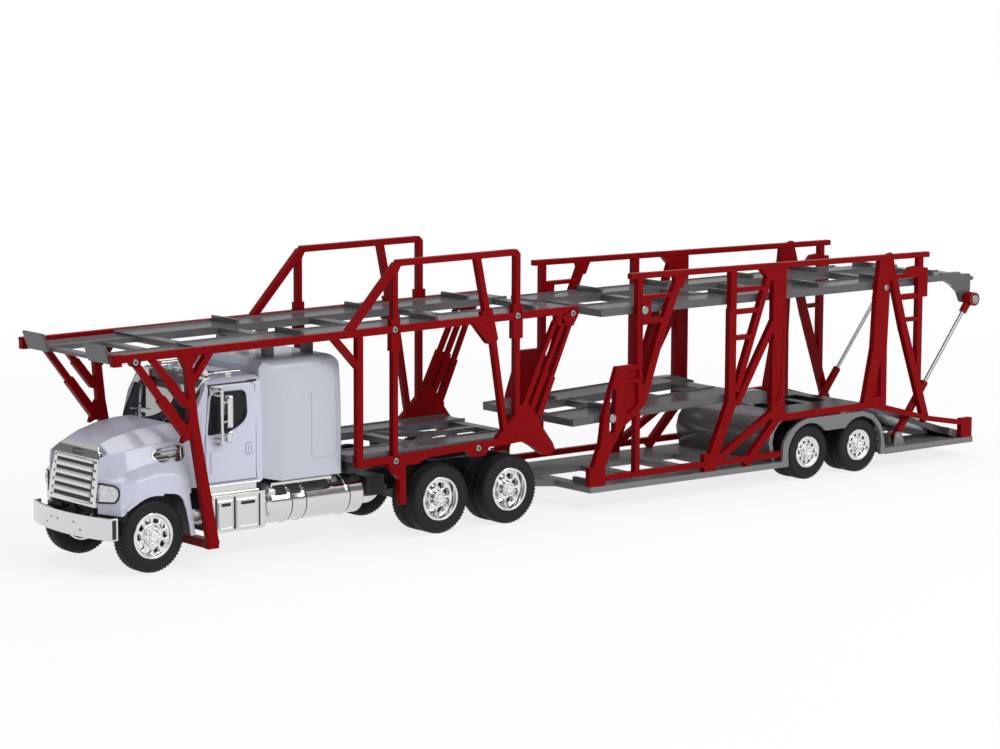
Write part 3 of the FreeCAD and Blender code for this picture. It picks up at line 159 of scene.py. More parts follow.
finish("tyre black", (0.0065, 0.0065, 0.0072), 0.55, grain=0.25, grain_size=1200.0, shine=0.28)
finish("drawn rod", (0.30, 0.31, 0.33), 0.30, metallic=1.0, cloud=0.03)
finish("screw plating", (0.34, 0.33, 0.32), 0.24, metallic=1.0, cloud=0.03)
# Black for the cab's interior, and also for the sheets of painted shade inside the cab shell.
finish("seat black", (0.020, 0.020, 0.022), 0.70, grain=0.2)

glass = finish("clear glass", (0.05, 0.055, 0.06), 0.04, shine=0.3)
fed(glass.node_tree.nodes["Principled BSDF"], {"Alpha": 0.22})
print("finishes:", len(finishes))

# %% [markdown]
# Trim must move with the part that carries it: a nut turns with its wheel, a pin head tilts with its
# deck. The record says which body each node belongs to and which material slot it fills, so both are
# looked up there. Meshes are made from points and faces, because small parts are simple exact shapes.

# %% Bodies, slots and meshes
NODE_BODY = {}
for body, members in frame["record"]["behaviour"]["bodies"].items():
    for member in members:
        NODE_BODY[member] = body
SLOTS = {row["node"]: row["material_slot"] for row in frame["record"]["subparts"]}
SMOOTH = math.radians(32)


def joined_mesh(name, shapes, place):
    """One mesh of several shapes, each points and faces, with all faces turned outwards."""
    points, faces = [], []
    for shape_points, shape_faces in shapes:
        start = len(points)
        points += [place(p) for p in shape_points]
        faces += [tuple(v + start for v in face) for face in shape_faces]
    mesh = bpy.data.meshes.new(name)
    mesh.from_pydata(points, [], faces)
    work = bmesh.new()
    work.from_mesh(mesh)
    bmesh.ops.recalc_face_normals(work, faces=work.faces)
    work.to_mesh(mesh)
    work.free()
    return mesh


def finished_mesh(mesh, material, smooth=SMOOTH):
    """The mesh with one material, and smooth shading that breaks at its corners."""
    mesh.materials.clear()
    mesh.materials.append(finishes[material])
    for face in mesh.polygons:
        face.material_index = 0
    mesh.shade_smooth()
    mesh.set_sharp_from_angle(angle=smooth)
    return mesh


def linked_object(name, mesh):
    """Object at the origin that holds a mesh."""
    made = bpy.data.objects.new(name, mesh)
    bpy.context.collection.objects.link(made)
    return made


def new_piece(name, mesh, body):
    """Object that rides on a body."""
    piece = linked_object(name, mesh)
    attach(piece, body)
    print("%-30s %6d faces" % (name, len(mesh.polygons)))
    return piece


def baked(draft):
    """The plain mesh of an object after its modifiers; the object itself goes."""
    graph = bpy.context.evaluated_depsgraph_get()
    graph.update()
    mesh = bpy.data.meshes.new_from_object(draft.evaluated_get(graph))
    bpy.data.objects.remove(draft)
    return mesh


print("bodies:", len(set(NODE_BODY.values())), "slots:", len(set(SLOTS.values())))

# %% [markdown]
# Some mouldings have recesses: screws sit in shallow round seats in the rack, and the wheel opening of
# the wing is squarer at its rear than the CAD draws it. They could be drawn into the mesh by hand, but a
# cutter is quicker to place and change: a straight prism that a Boolean takes out of the copy.

# %% Cutters for the recesses
RACK_FACE_Y = 38.8
SCREW_DEPTH = 0.6
SCREW_SEAT_R = 1.95
# Stations and heights of the middles of the rack's screws, and of one small dimple.
RACK_SCREWS = [(-12.5, 95.2), (129.0, 98.3), (202.0, 99.2), (236.2, 97.8), (129.7, 37.3), (178.5, 38.4)]
RACK_DIMPLE = (200.7, 43.2)
# The wheel opening's rear corner, and the gap that leaves a slender strip behind it.
ARCH_CORNER = [(3.0, 33.0), (5.5, 35.0), (11.2, 34.2), (14.0, 33.1), (15.6, 31.3), (17.1, 27.0), (18.5, 20.8),
               (19.7, 14.0), (17.0, 13.8), (14.0, 24.0)]
ARCH_BACK = [(22.1, 13.8), (20.9, 20.8), (19.9, 26.7), (18.9, 33.6), (21.4, 34.0), (23.4, 13.8)]
STRIP_BACK = [(13.6, 33.0), (23.6, 33.0), (23.6, 13.0), (13.6, 13.0)]
# Under the rear hoop's leaning post the brace is a short solid gusset, with this lower edge.
GUSSET_EDGE = [(175.0, 97.3), (183.3, 87.8)]
BRACE_END = [(160.0, 99.0), (175.0, 99.0), *GUSSET_EDGE, (183.3, 80.0), (160.0, 80.0)]


def prism(outline, y0, y1):
    """Straight prism over an outline of (x, z), from one y to another."""
    points = [(x, y, z) for y in (y0, y1) for x, z in outline]
    size = len(outline)
    faces = [tuple(range(size)), tuple(reversed(range(size, 2 * size)))]
    faces += [(k, k + size, (k + 1) % size + size, (k + 1) % size) for k in range(size)]
    return points, faces


def circle(x, z, radius, sides):
    turns = [2 * math.pi * k / sides for k in range(sides)]
    return [(x + radius * math.cos(turn), z + radius * math.sin(turn)) for turn in turns]


def seat(middle, radius, depth):
    """Round recess in the rack's outer face."""
    return circle(*middle, radius, 28), RACK_FACE_Y - depth, RACK_FACE_Y + 1.0


def cutter(name, prisms):
    """Object that a recess is cut with, its prisms on both sides of the toy."""
    shapes = [prism(outline, sign * y0, sign * y1) for outline, y0, y1 in prisms for sign in (-1, 1)]
    return linked_object(name, joined_mesh(name, shapes, lambda p: at(*p)))


screw_seats = cutter("screw_seats", [seat(middle, SCREW_SEAT_R, SCREW_DEPTH) for middle in RACK_SCREWS]
                     + [seat(RACK_DIMPLE, 0.8, 0.35)])
arch_cuts = cutter("arch_cuts", [(ARCH_CORNER, 25.0, 36.0), (ARCH_BACK, 25.0, 36.0)])
strip_cuts = cutter("strip_cuts", [(STRIP_BACK, 26.0, 31.75)])
brace_cuts = cutter("brace_cuts", [(BRACE_END, 34.0, 40.0)])
RECESSES = {"bonnet": [arch_cuts, strip_cuts], "rack_hoops": [screw_seats, brace_cuts]}
for name in ("rack_upper_rails", "rack_legs", "rack_lower_rails"):
    RECESSES[name] = [screw_seats]
print("nodes with recesses:", sorted(RECESSES))

# %% [markdown]
# Moulded plastic has no razor edge: its corners take the light as thin bright lines. CAD nodes have only
# sharp ones. So each node is copied, its loose triangles are merged, its recesses are cut, and a small
# bevel rounds the corners. Weighted normals keep the large faces flat. The copy is what is seen of the
# node, while the node itself stays as the solid that collides.

# %% Softened copies of the CAD mouldings
MERGE_MM = 0.004
BEVEL_FROM = math.radians(38)
SHARP_FROM = math.radians(44)


def softened_mesh(node, width):
    """The mesh of a node with its recesses cut and its corners rounded."""
    work = bmesh.new()
    work.from_mesh(frame["nodes"][node].data)
    bmesh.ops.remove_doubles(work, verts=work.verts, dist=MERGE_MM * MM)
    mesh = bpy.data.meshes.new(node + "_soft")
    work.to_mesh(mesh)
    work.free()
    draft = linked_object(node + "_draft", mesh)
    for tool in RECESSES.get(node, ()):
        set_up(draft.modifiers.new("recesses", "BOOLEAN"), operation="DIFFERENCE", solver="EXACT", object=tool)
    set_up(draft.modifiers.new("rounded corners", "BEVEL"), width=width * MM, segments=2, limit_method="ANGLE",
           angle_limit=BEVEL_FROM, use_clamp_overlap=False, miter_outer="MITER_ARC")
    return baked(draft)


def evened(mesh):
    """The mesh with its normals led by its large faces, so that they stay plane beside a round corner."""
    draft = linked_object(mesh.name + "_even", mesh)
    set_up(draft.modifiers.new("led by large faces", "WEIGHTED_NORMAL"), mode="FACE_AREA", weight=90, keep_sharp=True)
    return baked(draft)


# finish, corner radius in mm, nodes
MOULDINGS = [
    ("rack red", 0.25, ["rack_upper_rails", "rack_legs", "rack_hoops", "rack_lower_rails"]),
    ("rack red", 0.2, ["rack_struts"]),
    ("rack red", 0.25, ["trailer_top_rails"]),
    ("rack red", 0.2, ["trailer_front_frames", "trailer_middle_frames", "trailer_lower_rails", "trailer_rear_frames"]),
    ("deck grey", 0.12, ["truck_upper_deck", "truck_lower_deck", "upper_deck", "mid_deck"]),
    ("floor grey", 0.15, ["trailer_floor"]),
    ("bogie grey", 0.15, ["bogie_deck"]),
    ("bulkhead grey", 0.15, ["front_hump"]),
    ("deck grey", 0.15, ["rear_ramp"]),
    ("cab white", 0.15, ["bonnet"]),
    ("cab white", 0.1, ["cab_shell"]),
    ("sleeper white", 0.1, ["sleeper_box"]),
    ("bright plating", 0.2, ["grille", "bumper", "sun_visor"]),
    ("bright plating", 0.25, ["step_boxes"]),
    ("bright plating", 0.2, ["fuel_tanks"]),
    ("rack red", 0.15, ["lift_barrel_left", "lift_barrel_right"]),
    ("wheel plating", 0.12, [axle + "_wheelset" for axle in AXLES]),
]
for material, width, group in MOULDINGS:
    for node in group:
        mesh = evened(finished_mesh(softened_mesh(node, width), material, SHARP_FROM))
        piece = new_piece(node + "_moulding", mesh, NODE_BODY[node])
        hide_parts(node)
for tool in (screw_seats, arch_cuts, strip_cuts, brace_cuts):
    bpy.data.objects.remove(tool)

# %% [markdown]
# The other CAD nodes keep their own meshes and only take a finish: they lie in shadow, behind glass, or
# are turned parts without a corner that shows.

# %% Finishes of the plain nodes
PLAIN = {"chassis black": ["chassis_frame", "axle_beams", "trailer_axle_beams"], "clear glass": ["cab_glass"],
         "seat black": ["cab_interior"], "bright plating": ["roof_horns"],
         "drawn rod": ["lift_rod_left", "lift_rod_right"]}
for material, group in PLAIN.items():
    for node in group:
        for place in frame["nodes"][node].material_slots:
            place.material = finishes[material]
print("plain nodes:", sum(len(group) for group in PLAIN.values()))

# %% [markdown]
# Small parts are built from outlines. An outline is drawn flat, its corners are rounded, and a place
# function lays it on a surface of the toy: the windscreen's slope, a door, a tilted lamp. Built on the
# surface, a seal or a slat lies flush however that surface leans.

# %% Outlines, pads and bands
MOST_OF_A_SIDE = 0.45


def vectors(*points):
    return [Vector(p) for p in points]


def round_corner(before, corner, after, radius, steps):
    """Points that round a corner, clear of the middles of the sides beside it."""
    before, after = before - corner, after - corner
    reach = min(radius, before.length * MOST_OF_A_SIDE, after.length * MOST_OF_A_SIDE)
    start, stop = corner + before.normalized() * reach, corner + after.normalized() * reach
    shares = [step / steps for step in range(steps + 1)]
    return [start * (1 - t) ** 2 + corner * 2 * t * (1 - t) + stop * t ** 2 for t in shares]


def softened_outline(points, radius, steps=5):
    """The outline with its corners rounded, by one radius or by one for each corner."""
    corners = vectors(*points)
    radii = radius if isinstance(radius, list) else [radius] * len(corners)
    result = []
    for k, corner in enumerate(corners):
        result += round_corner(corners[k - 1], corner, corners[(k + 1) % len(corners)], radii[k] * 1.2, steps)
    return result


def box_outline(a0, a1, b0, b1, radius=0.3):
    return softened_outline([(a0, b0), (a1, b0), (a1, b1), (a0, b1)], radius, 3)


def shrunk(outline, width):
    """The outline drawn in by a width."""
    area = sum(a.x * b.y - b.x * a.y for a, b in zip(outline, outline[1:] + outline[:1]))
    sign = 1 if area > 0 else -1
    result = []
    for k, point in enumerate(outline):
        along = (outline[(k + 1) % len(outline)] - outline[k - 1]).normalized()
        result.append(point + Vector((-along.y, along.x)) * width * sign)
    return result


def leaning(x, z, back, up):
    """Place function of a face across the truck that leans back from (x, z)."""
    return lambda a, b, h: Vector((x + back * b - up * h, a, z + up * b + back * h))


def flat_side(y):
    """Place function of a flat left side."""
    return lambda a, b, h: Vector((a, -y - h, b))


def skinned(loops, closed=False, round_loops=True):
    """Points and faces of a skin over equal loops, capped at both ends unless it is closed."""
    points = [p for loop in loops for p in loop]
    size = len(loops[0])
    faces = []
    for row in range(len(loops) if closed else len(loops) - 1):
        below, over = row * size, ((row + 1) % len(loops)) * size
        for k in range(size if round_loops else size - 1):
            after = (k + 1) % size
            faces.append((below + k, below + after, over + after, over + k))
    if not closed:
        faces.append(tuple(reversed(range(size))))
        faces.append(tuple(range((len(loops) - 1) * size, len(loops) * size)))
    return points, faces


def laid(outline, place, height):
    return [place(p.x, p.y, height) for p in outline]


def pad(outline, place, low, high, edge=0.12):
    """Raised pad over an outline, with a chamfered rim."""
    top = laid(shrunk(outline, edge), place, high)
    return skinned([laid(outline, place, low), laid(outline, place, high - edge), top])


def band(outline, width, place, low, high, edge=0.1):
    """Raised band that runs along the inside of an outline."""
    inner = shrunk(outline, width)
    return skinned([laid(outline, place, low), laid(outline, place, high - edge),
                    laid(shrunk(outline, edge), place, high), laid(shrunk(outline, width - edge), place, high),
                    laid(inner, place, high - edge), laid(inner, place, low)], closed=True)


# %% [markdown]
# A mirror arm is a circle carried along a bent path, and a tyre is its section turned about the axle.
# Curves and a Screw modifier could make them too, but points and faces like a pad's can be joined with
# any other shape in one piece.

# %% Tubes, turned shapes and finished pieces
def tube(path, radius, sides=12, bend=0.0):
    """Round bar along a path of points, its bends rounded."""
    stops = vectors(*path)
    if bend:
        eased = [stops[0]]
        for k in range(1, len(stops) - 1):
            eased += round_corner(stops[k - 1], stops[k], stops[k + 1], bend, 6)
        stops = eased + [stops[-1]]
    loops = []
    across = None
    for k, stop in enumerate(stops):
        along = (stops[min(k + 1, len(stops) - 1)] - stops[max(k - 1, 0)]).normalized()
        if across is None:
            across = along.orthogonal().normalized()
        across = (across - along * across.dot(along)).normalized()
        third = along.cross(across)
        loops.append([stop + (across * math.cos(a) + third * math.sin(a)) * radius
                      for a in [2 * math.pi * s / sides for s in range(sides)]])
    return skinned(loops)


def turned(profile, x, z, sides=96, closed=True):
    """Ring turned about the axle line at (x, z), from a list of (radius, y)."""
    loops = []
    for k in range(sides):
        a = 2 * math.pi * k / sides
        loops.append([Vector((x + r * math.sin(a), y, z + r * math.cos(a))) for r, y in profile])
    return skinned(loops, closed=True, round_loops=closed)


def turned_disc(profile, x, z, sides):
    """The same, closed over its first and its last radius."""
    points, faces = turned(profile, x, z, sides, closed=False)
    size = len(profile)
    faces.append(tuple(k * size for k in range(sides)))
    faces.append(tuple(k * size + size - 1 for k in range(sides)))
    return points, faces


def both(shapes):
    """The shapes of the left side, and then their mirror images on the right."""
    others = [([Vector((p[0], -p[1], p[2])) for p in points], [tuple(reversed(face)) for face in faces])
              for points, faces in shapes]
    return list(shapes) + others


def assembled(name, shapes, material, body, smooth=SMOOTH):
    """One piece on a body, made of shapes drawn in millimetre stations."""
    mesh = finished_mesh(joined_mesh(name, shapes, lambda p: at(*p)), material, smooth)
    return new_piece(name, mesh, body)


def dark_trim_and_shade(name, shapes):
    """Black rubber or plastic trim on the truck, and black pads and sheets of painted shade."""
    return assembled(name, shapes, "seal black", "tractor")


def plated_trim(name, shapes):
    """Bright plated trim on the truck."""
    return assembled(name, shapes, "bright plating", "tractor")


# %% [markdown]
# Some things repeat many times: nuts round a hub, blocks round a tread, screws along a rail. On the toy
# they all come from one mould insert. The node tree does the same: it takes one small item and sets a
# ring of copies round every starting point, so one number changes them all.

# %% Geometry nodes: rings of one item
ring_tree = bpy.data.node_groups.new("rings of an item", "GeometryNodeTree")
INPUTS = {}
for label, kind in (("Geometry", "Geometry"), ("Count", "Int"), ("Radius", "Float"), ("Item", "Object"),
                    ("Finish", "Material")):
    made = ring_tree.interface.new_socket(label, in_out="INPUT", socket_type="NodeSocket" + kind)
    INPUTS[label] = made.identifier
ring_tree.interface.new_socket("Geometry", in_out="OUTPUT", socket_type="NodeSocketGeometry")


def ring_node(kind, feeds=None, **settings):
    return add_node(ring_tree, kind, feeds, **settings).outputs


entry = ring_node("NodeGroupInput")
# One ring: the angle of each copy, its place on the circle, and its turn about the axle line.
number = ring_node("GeometryNodeInputIndex")[0]
share = ring_node("ShaderNodeMath", {0: number, 1: entry["Count"]}, operation="DIVIDE")[0]
angle = ring_node("ShaderNodeMath", {0: share, 1: 2 * math.pi}, operation="MULTIPLY")[0]
sine, cosine = [ring_node("ShaderNodeMath", {0: angle}, operation=kind)[0] for kind in ("SINE", "COSINE")]
spot = ring_node("ShaderNodeCombineXYZ", {"X": sine, "Z": cosine})[0]
scaled = ring_node("ShaderNodeVectorMath", {0: spot, "Scale": entry["Radius"]}, operation="SCALE")["Vector"]
spots = ring_node("GeometryNodePoints", {"Count": entry["Count"], "Position": scaled})[0]
item = ring_node("GeometryNodeObjectInfo", {"Object": entry["Item"]})["Geometry"]
facing = ring_node("ShaderNodeCombineXYZ", {"Y": angle})[0]
one_ring = ring_node("GeometryNodeInstanceOnPoints", {"Points": spots, "Instance": item, "Rotation": facing})[0]
# A ring at each starting point, turned to face the side that the point says.
side = ring_node("GeometryNodeInputNamedAttribute", {"Name": "side turn"}, data_type="FLOAT")["Attribute"]
outward = ring_node("ShaderNodeCombineXYZ", {"Z": side})[0]
all_rings = ring_node("GeometryNodeInstanceOnPoints",
                      {"Points": entry["Geometry"], "Instance": one_ring, "Rotation": outward})[0]
real = ring_node("GeometryNodeRealizeInstances", {0: all_rings})[0]
dressed = ring_node("GeometryNodeSetMaterial", {"Geometry": real, "Material": entry["Finish"]})[0]
ring_node("NodeGroupOutput", {0: dressed})
print("node tree:", len(ring_tree.nodes), "nodes")

# %% [markdown]
# The item is a small mesh about the origin, with few faces because it is copied hundreds of times. The
# result is baked to a plain mesh, one for each body, so that the pieces hold no copies that exist only on
# the screen.

# %% Items, and the pieces made of them
def item_mesh(name, shape):
    """Hidden object for one repeated item, drawn about the origin."""
    mesh = joined_mesh(name, [shape], lambda p: Vector(p) * MM)
    mesh.shade_smooth()
    mesh.set_sharp_from_angle(angle=SMOOTH)
    return bpy.data.objects.new(name, mesh)


def disc_item(name, profile, sides):
    """Turned item whose axis is the wheel's, from a list of (radius, y)."""
    return item_mesh(name, turned_disc(profile, 0.0, 0.0, sides))


def rings(name, centres, count, radius, source, material, body):
    """Rings of an item round the centres; those on the right face right."""
    mesh = bpy.data.meshes.new(name)
    mesh.from_pydata([at(*centre) for centre in centres], [], [])
    side_turn = mesh.attributes.new("side turn", "FLOAT", "POINT")
    for k, centre in enumerate(centres):
        side_turn.data[k].value = math.pi if centre[1] > 0 else 0.0
    base = linked_object(name + "_base", mesh)
    maker = base.modifiers.new("rings", "NODES")
    maker.node_group = ring_tree
    maker[INPUTS["Count"]] = count
    maker[INPUTS["Radius"]] = radius * MM
    maker[INPUTS["Item"]] = source
    maker[INPUTS["Finish"]] = finishes[material]
    return new_piece(name, finished_mesh(baked(base), material), body)


wheel_nut = disc_item("wheel_nut", [(0.62, 0.3), (0.62, -0.55), (0.5, -0.75)], 6)
hub_bolt = disc_item("hub_bolt", [(0.42, 0.3), (0.42, -0.3), (0.3, -0.45)], 6)
BLOCK_FOOT = [(-0.36, -0.55), (0.36, -0.55), (0.36, 0.55), (-0.36, 0.55)]
tread_block = item_mesh("tread_block", skinned([[Vector((x * grow, y, z)) for x, y in BLOCK_FOOT]
                                                for z, grow in ((-0.5, 1.0), (0.0, 0.86))]))

# %% [markdown]
# Each tyre is one soft ring with smooth walls, a bead that grips the rim, a rounded shoulder and a tread
# of narrow ribs. Its section is turned on the axle line, and turned ribs catch the light as thin lines,
# as moulded ones do. The small shoulder blocks are a ring from the node tree.

# %% Tyres
# axle group: width, rim radius, outer faces of the tyres on the left
TYRES = {"front": (8.5, 10.2, [32.6]), "drive": (8.5, 10.2, [38.0, 28.7]), "trailer": (7.6, 8.0, [37.0, 28.6])}
RIBS = 6
SHOULDER_BLOCKS = 60
BLOCK_INSET = 1.5


def tyre_profile(radius, rim, width, face):
    """Closed outline of a tyre's section as (radius, y), its outer face at -face."""
    middle = -face + width / 2
    half = width / 2
    wall = radius - rim
    right_half = [(rim - 0.05, half - 1.3), (rim + 0.05, half - 0.55), (rim + 0.45, half - 0.42),
                  (rim + 0.75, half - 0.62), (rim + wall * 0.35, half - 0.22), (rim + wall * 0.55, half - 0.10),
                  (rim + wall * 0.72, half - 0.22), (rim + wall * 0.74, half - 0.12), (rim + wall * 0.82, half - 0.30),
                  (radius - 0.75, half - 0.85), (radius - 0.28, half - 1.35), (radius - 0.10, half - 1.75)]
    tread = []
    place = half - 1.95
    pitch = 2 * place / RIBS
    for k in range(RIBS):
        tread += [(radius - 0.35, place), (radius - 0.02, place - 0.10),
                  (radius - 0.02, place - pitch + 0.28), (radius - 0.35, place - pitch + 0.18)]
        place -= pitch
    left_half = [(r, -y) for r, y in reversed(right_half)]
    return [(r, middle + y) for r, y in right_half + tread + left_half]


for axle, (x, radius) in AXLES.items():
    width, rim, faces_y = TYRES[axle.split("_")[0]]
    body, slot = NODE_BODY[axle + "_tyres"], SLOTS[axle + "_tyres"]
    shapes = both([turned(tyre_profile(radius, rim, width, face), x, radius) for face in faces_y])
    piece = assembled(axle + "_rubber", shapes, "tyre black", body, math.radians(28))
    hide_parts(axle + "_tyres")
    centres = [(x, sign * y, radius) for face in faces_y for sign in (-1, 1)
               for y in (face - BLOCK_INSET, face - width + BLOCK_INSET)]
    rings(axle + "_shoulder_blocks", centres, SHOULDER_BLOCKS, radius - 0.12, tread_block, "tyre black", body)

# %% [markdown]
# The plated rims are CAD nodes with their hand holes cut. The hardware is missing: ten nuts round each
# hub, smaller bolts round its cap, a turned cap and the bright rolled lip of the rim.

# %% Nuts, caps and rim lips
# axle group: nut ring radius and depth, cap radius and depth, bolt ring radius and depth
HUBS = {"front": (3.55, 0.4, 2.3, -0.7, 1.45, -0.75), "drive": (2.75, 0.8, 1.75, -0.2, 1.1, -0.25),
        "trailer": (2.75, 0.0, 1.75, -1.0, 1.1, -1.0)}
for axle, (x, z) in AXLES.items():
    group = axle.split("_")[0]
    nut_r, nut_in, cap_r, cap_in, bolt_r, bolt_in = HUBS[group]
    rim, face = TYRES[group][1], TYRES[group][2][0]
    body, slot = NODE_BODY[axle + "_wheelset"], SLOTS[axle + "_wheelset"]
    lip = turned([(rim + 0.1, -face + 1.2), (rim + 0.1, -face + 0.45), (rim - 0.15, -face + 0.2),
                  (rim - 0.45, -face + 0.22), (rim - 0.6, -face + 0.5), (rim - 0.65, -face + 1.2)], x, z)
    front = -face + cap_in
    cap = turned_disc([(cap_r, front + 1.4), (cap_r, front + 0.2), (cap_r - 0.2, front), (cap_r * 0.5, front - 0.1),
                       (cap_r * 0.42, front + 0.12), (cap_r * 0.2, front + 0.1)], x, z, 40)
    assembled(axle + "_rim_lips", both([lip, cap]), "wheel plating", body)
    for name, depth, count, radius, source in (("_nuts", nut_in, 10, nut_r, wheel_nut),
                                               ("_cap_bolts", bolt_in, 6, bolt_r, hub_bolt)):
        centres = [(x, sign * (face - depth), z) for sign in (-1, 1)]
        rings(axle + name, centres, count, radius, source, "wheel plating", body)

# %% [markdown]
# The grille's plated bars are rounded, so each reads as a bright line over a dark slot; that dark is
# painted shade, a black sheet behind the bars. Small square notches run down both their ends, drawn as dark
# pads of painted shade. Above them sits a plain badge with a dark rim.

# %% Grille and badge
GRILLE_FOOT, GRILLE_LOW, GRILLE_HIGH = 29.6, 30.6, 50.2
on_grille = leaning(-22.0, GRILLE_FOOT, 0.146, 0.989)
on_cap = leaning(-18.9, 50.6, 0.376, 0.926)
BAR_HALF, NOTCH_Y, NOTCH_HALF = 14.6, 16.2, 0.55
SLOT_H = 1.35
SLOT_Z = [32.3 + 3.68 * k for k in range(5)]
bars, notches = [], []
for low, high in zip([GRILLE_LOW] + [z + SLOT_H for z in SLOT_Z], SLOT_Z + [GRILLE_HIGH]):
    crown = low + (high - low) * 0.62
    section = [(low, 0.0), (low + 0.1, 0.55), (crown, 0.95), (high - 0.1, 0.35), (high, 0.0)]
    bars.append(skinned([[on_grille(y, b - GRILLE_FOOT, h) for b, h in section] for y in (-BAR_HALF, BAR_HALF)]))
    for y in (-NOTCH_Y, NOTCH_Y):
        notch = box_outline(y - NOTCH_HALF, y + NOTCH_HALF, low - 29.3, low - 28.2, 0.15)
        notches.append(pad(notch, on_grille, -0.1, 0.1, 0.04))
plated_trim("grille_bars", bars)
# Painted shade: a black sheet behind the bars darkens the slots, and dark pads stand for the shade in the notches.
slot_shade = pad(box_outline(-14.9, 14.9, 1.6, 20.3), on_grille, -0.6, 0.1)
badge_rim = band(box_outline(-3.8, 3.8, 0.5, 2.9, 0.9), 0.45, on_cap, -0.1, 0.25)
dark_trim_and_shade("grille_dark_parts", notches + [slot_shade, badge_rim])
plated_trim("grille_badge", [pad(box_outline(-3.3, 3.3, 1.0, 2.4, 0.5), on_cap, -0.1, 0.2)])

# %% [markdown]
# The lamps are facetted silver behind a clear lens, held by a dark seal that follows the wing. Two
# plated rings in each stand for its reflectors, a large one by the grille and a small one outside it.

# %% Headlamps
def on_lamp(a, b, h):
    return Vector((-20.6 + 0.433 * a - 0.901 * h, -19.8 - 0.901 * a - 0.433 * h, b))


lamp_line = softened_outline([(0.3, 31.6), (0.3, 40.9), (8.8, 40.3), (11.3, 38.6), (11.3, 35.2), (9.2, 32.0)],
                             [0.4, 0.4, 2.0, 2.0, 2.0, 2.6])
dark_trim_and_shade("headlamp_seals", both([band(lamp_line, 0.75, on_lamp, -0.2, 0.5)]))
lenses = both([pad(shrunk(lamp_line, 0.6), on_lamp, -0.1, 0.75, 0.45)])
lamps = assembled("headlamp_lenses", lenses, "lamp silver", "tractor")
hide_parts("headlamps")
reflectors = []
for a, b, size in ((3.7, 36.8, 2.9), (8.6, 37.0, 1.7)):
    ring = vectors(*circle(a, b, size, 32))
    reflectors.append(band(ring, 0.35, on_lamp, 0.6, 0.95))
    reflectors.append(pad(shrunk(ring, size * 0.62), on_lamp, 0.6, 0.9))
plated_trim("lamp_reflectors", both(reflectors))

# %% [markdown]
# A black sheet closes each wheel opening from inside as painted shade, so the gap over the tyre looks
# dark. The bolt holes and end slots of the bowed bumper are thin dark pads laid on its curve, painted shade
# for the dark inside them: a hole a millimetre wide reads by its colour, and cutting it would tell no more.

# %% Wheel opening shade and bumper
# Painted shade: a black sheet inside each wheel opening.
ARCH_SHADE = [(-14.2, 24.0), (-12.6, 29.0), (-9.0, 32.9), (-4.4, 35.0), (0.0, 35.9), (5.6, 36.0), (11.6, 35.2),
           (16.2, 32.6), (17.8, 27.2), (19.1, 21.0), (20.2, 15.0)]
ARCH_SHADE_T, ARCH_SHADE_OUT, ARCH_SHADE_IN = 0.4, -31.7, -20.0
loops = []
for k, (x, z) in enumerate(ARCH_SHADE):
    before, after = ARCH_SHADE[max(k - 1, 0)], ARCH_SHADE[min(k + 1, len(ARCH_SHADE) - 1)]
    out = Vector((before[1] - after[1], after[0] - before[0])).normalized() * ARCH_SHADE_T
    loops.append([Vector((x, ARCH_SHADE_OUT, z)), Vector((x, ARCH_SHADE_IN, z)),
                  Vector((x + out.x, ARCH_SHADE_IN, z + out.y)), Vector((x + out.x, ARCH_SHADE_OUT, z + out.y))])
dark_trim_and_shade("wheel_housings", both([skinned(loops)]))
BUMPER_Y = 31.8


def on_bumper(a, b, h):
    """On the bumper's bowed front; a is the offset from the middle."""
    return Vector((-27.0 + 5.2 * (a / BUMPER_Y) ** 2 - h, a, b))


# Painted shade: dark pads stand for the dark inside the bolt holes and end slots.
holes = [pad(box_outline(y - 0.45, y + 0.45, z - 0.5, z + 0.5, 0.3), on_bumper, -0.1, 0.06, 0.03)
         for y, z in ((3.4, 22.6), (-9.0, 22.6), (-13.6, 19.6), (9.0, 22.6), (13.6, 19.6))]
ends = both([pad(box_outline(-21.2, -19.1, 17.2, 25.7), flat_side(BUMPER_Y), -0.2, 0.08, 0.04)])
dark_trim_and_shade("bumper_dark_parts", holes + ends)

# %% [markdown]
# The side vents follow the curve of the bonnet's flank: a dark opening, a pad of painted shade, under a
# plated frame and three plated slats. The place function reads the flank's half width between the sections
# that shape the bonnet.

# %% Bonnet vents
# station, then half width and height at the foot and at the top of the flank
FLANK = [(-9.0, 27.0, 45.4, 23.6, 54.0), (2.0, 28.4, 48.6, 26.2, 55.8), (12.0, 29.4, 48.4, 28.0, 57.2),
         (20.0, 29.8, 46.0, 28.8, 57.8)]


def on_flank(a, b, h):
    k = max(i for i in range(3) if a >= FLANK[i][0] or i == 0)
    start, stop = FLANK[k], FLANK[k + 1]
    t = (a - start[0]) / (stop[0] - start[0])
    low_y, low_z, high_y, high_z = [start[i] * (1 - t) + stop[i] * t for i in (1, 2, 3, 4)]
    return Vector((a, -(low_y + (high_y - low_y) * (b - low_z) / (high_z - low_z)) - h, b))


VENT = softened_outline([(1.6, 51.4), (4.4, 54.2), (16.4, 55.2), (18.6, 53.6), (18.2, 49.6), (16.4, 48.0), (6.0, 47.7)],
                        [2.0, 2.6, 1.6, 1.6, 1.6, 1.6, 3.0])
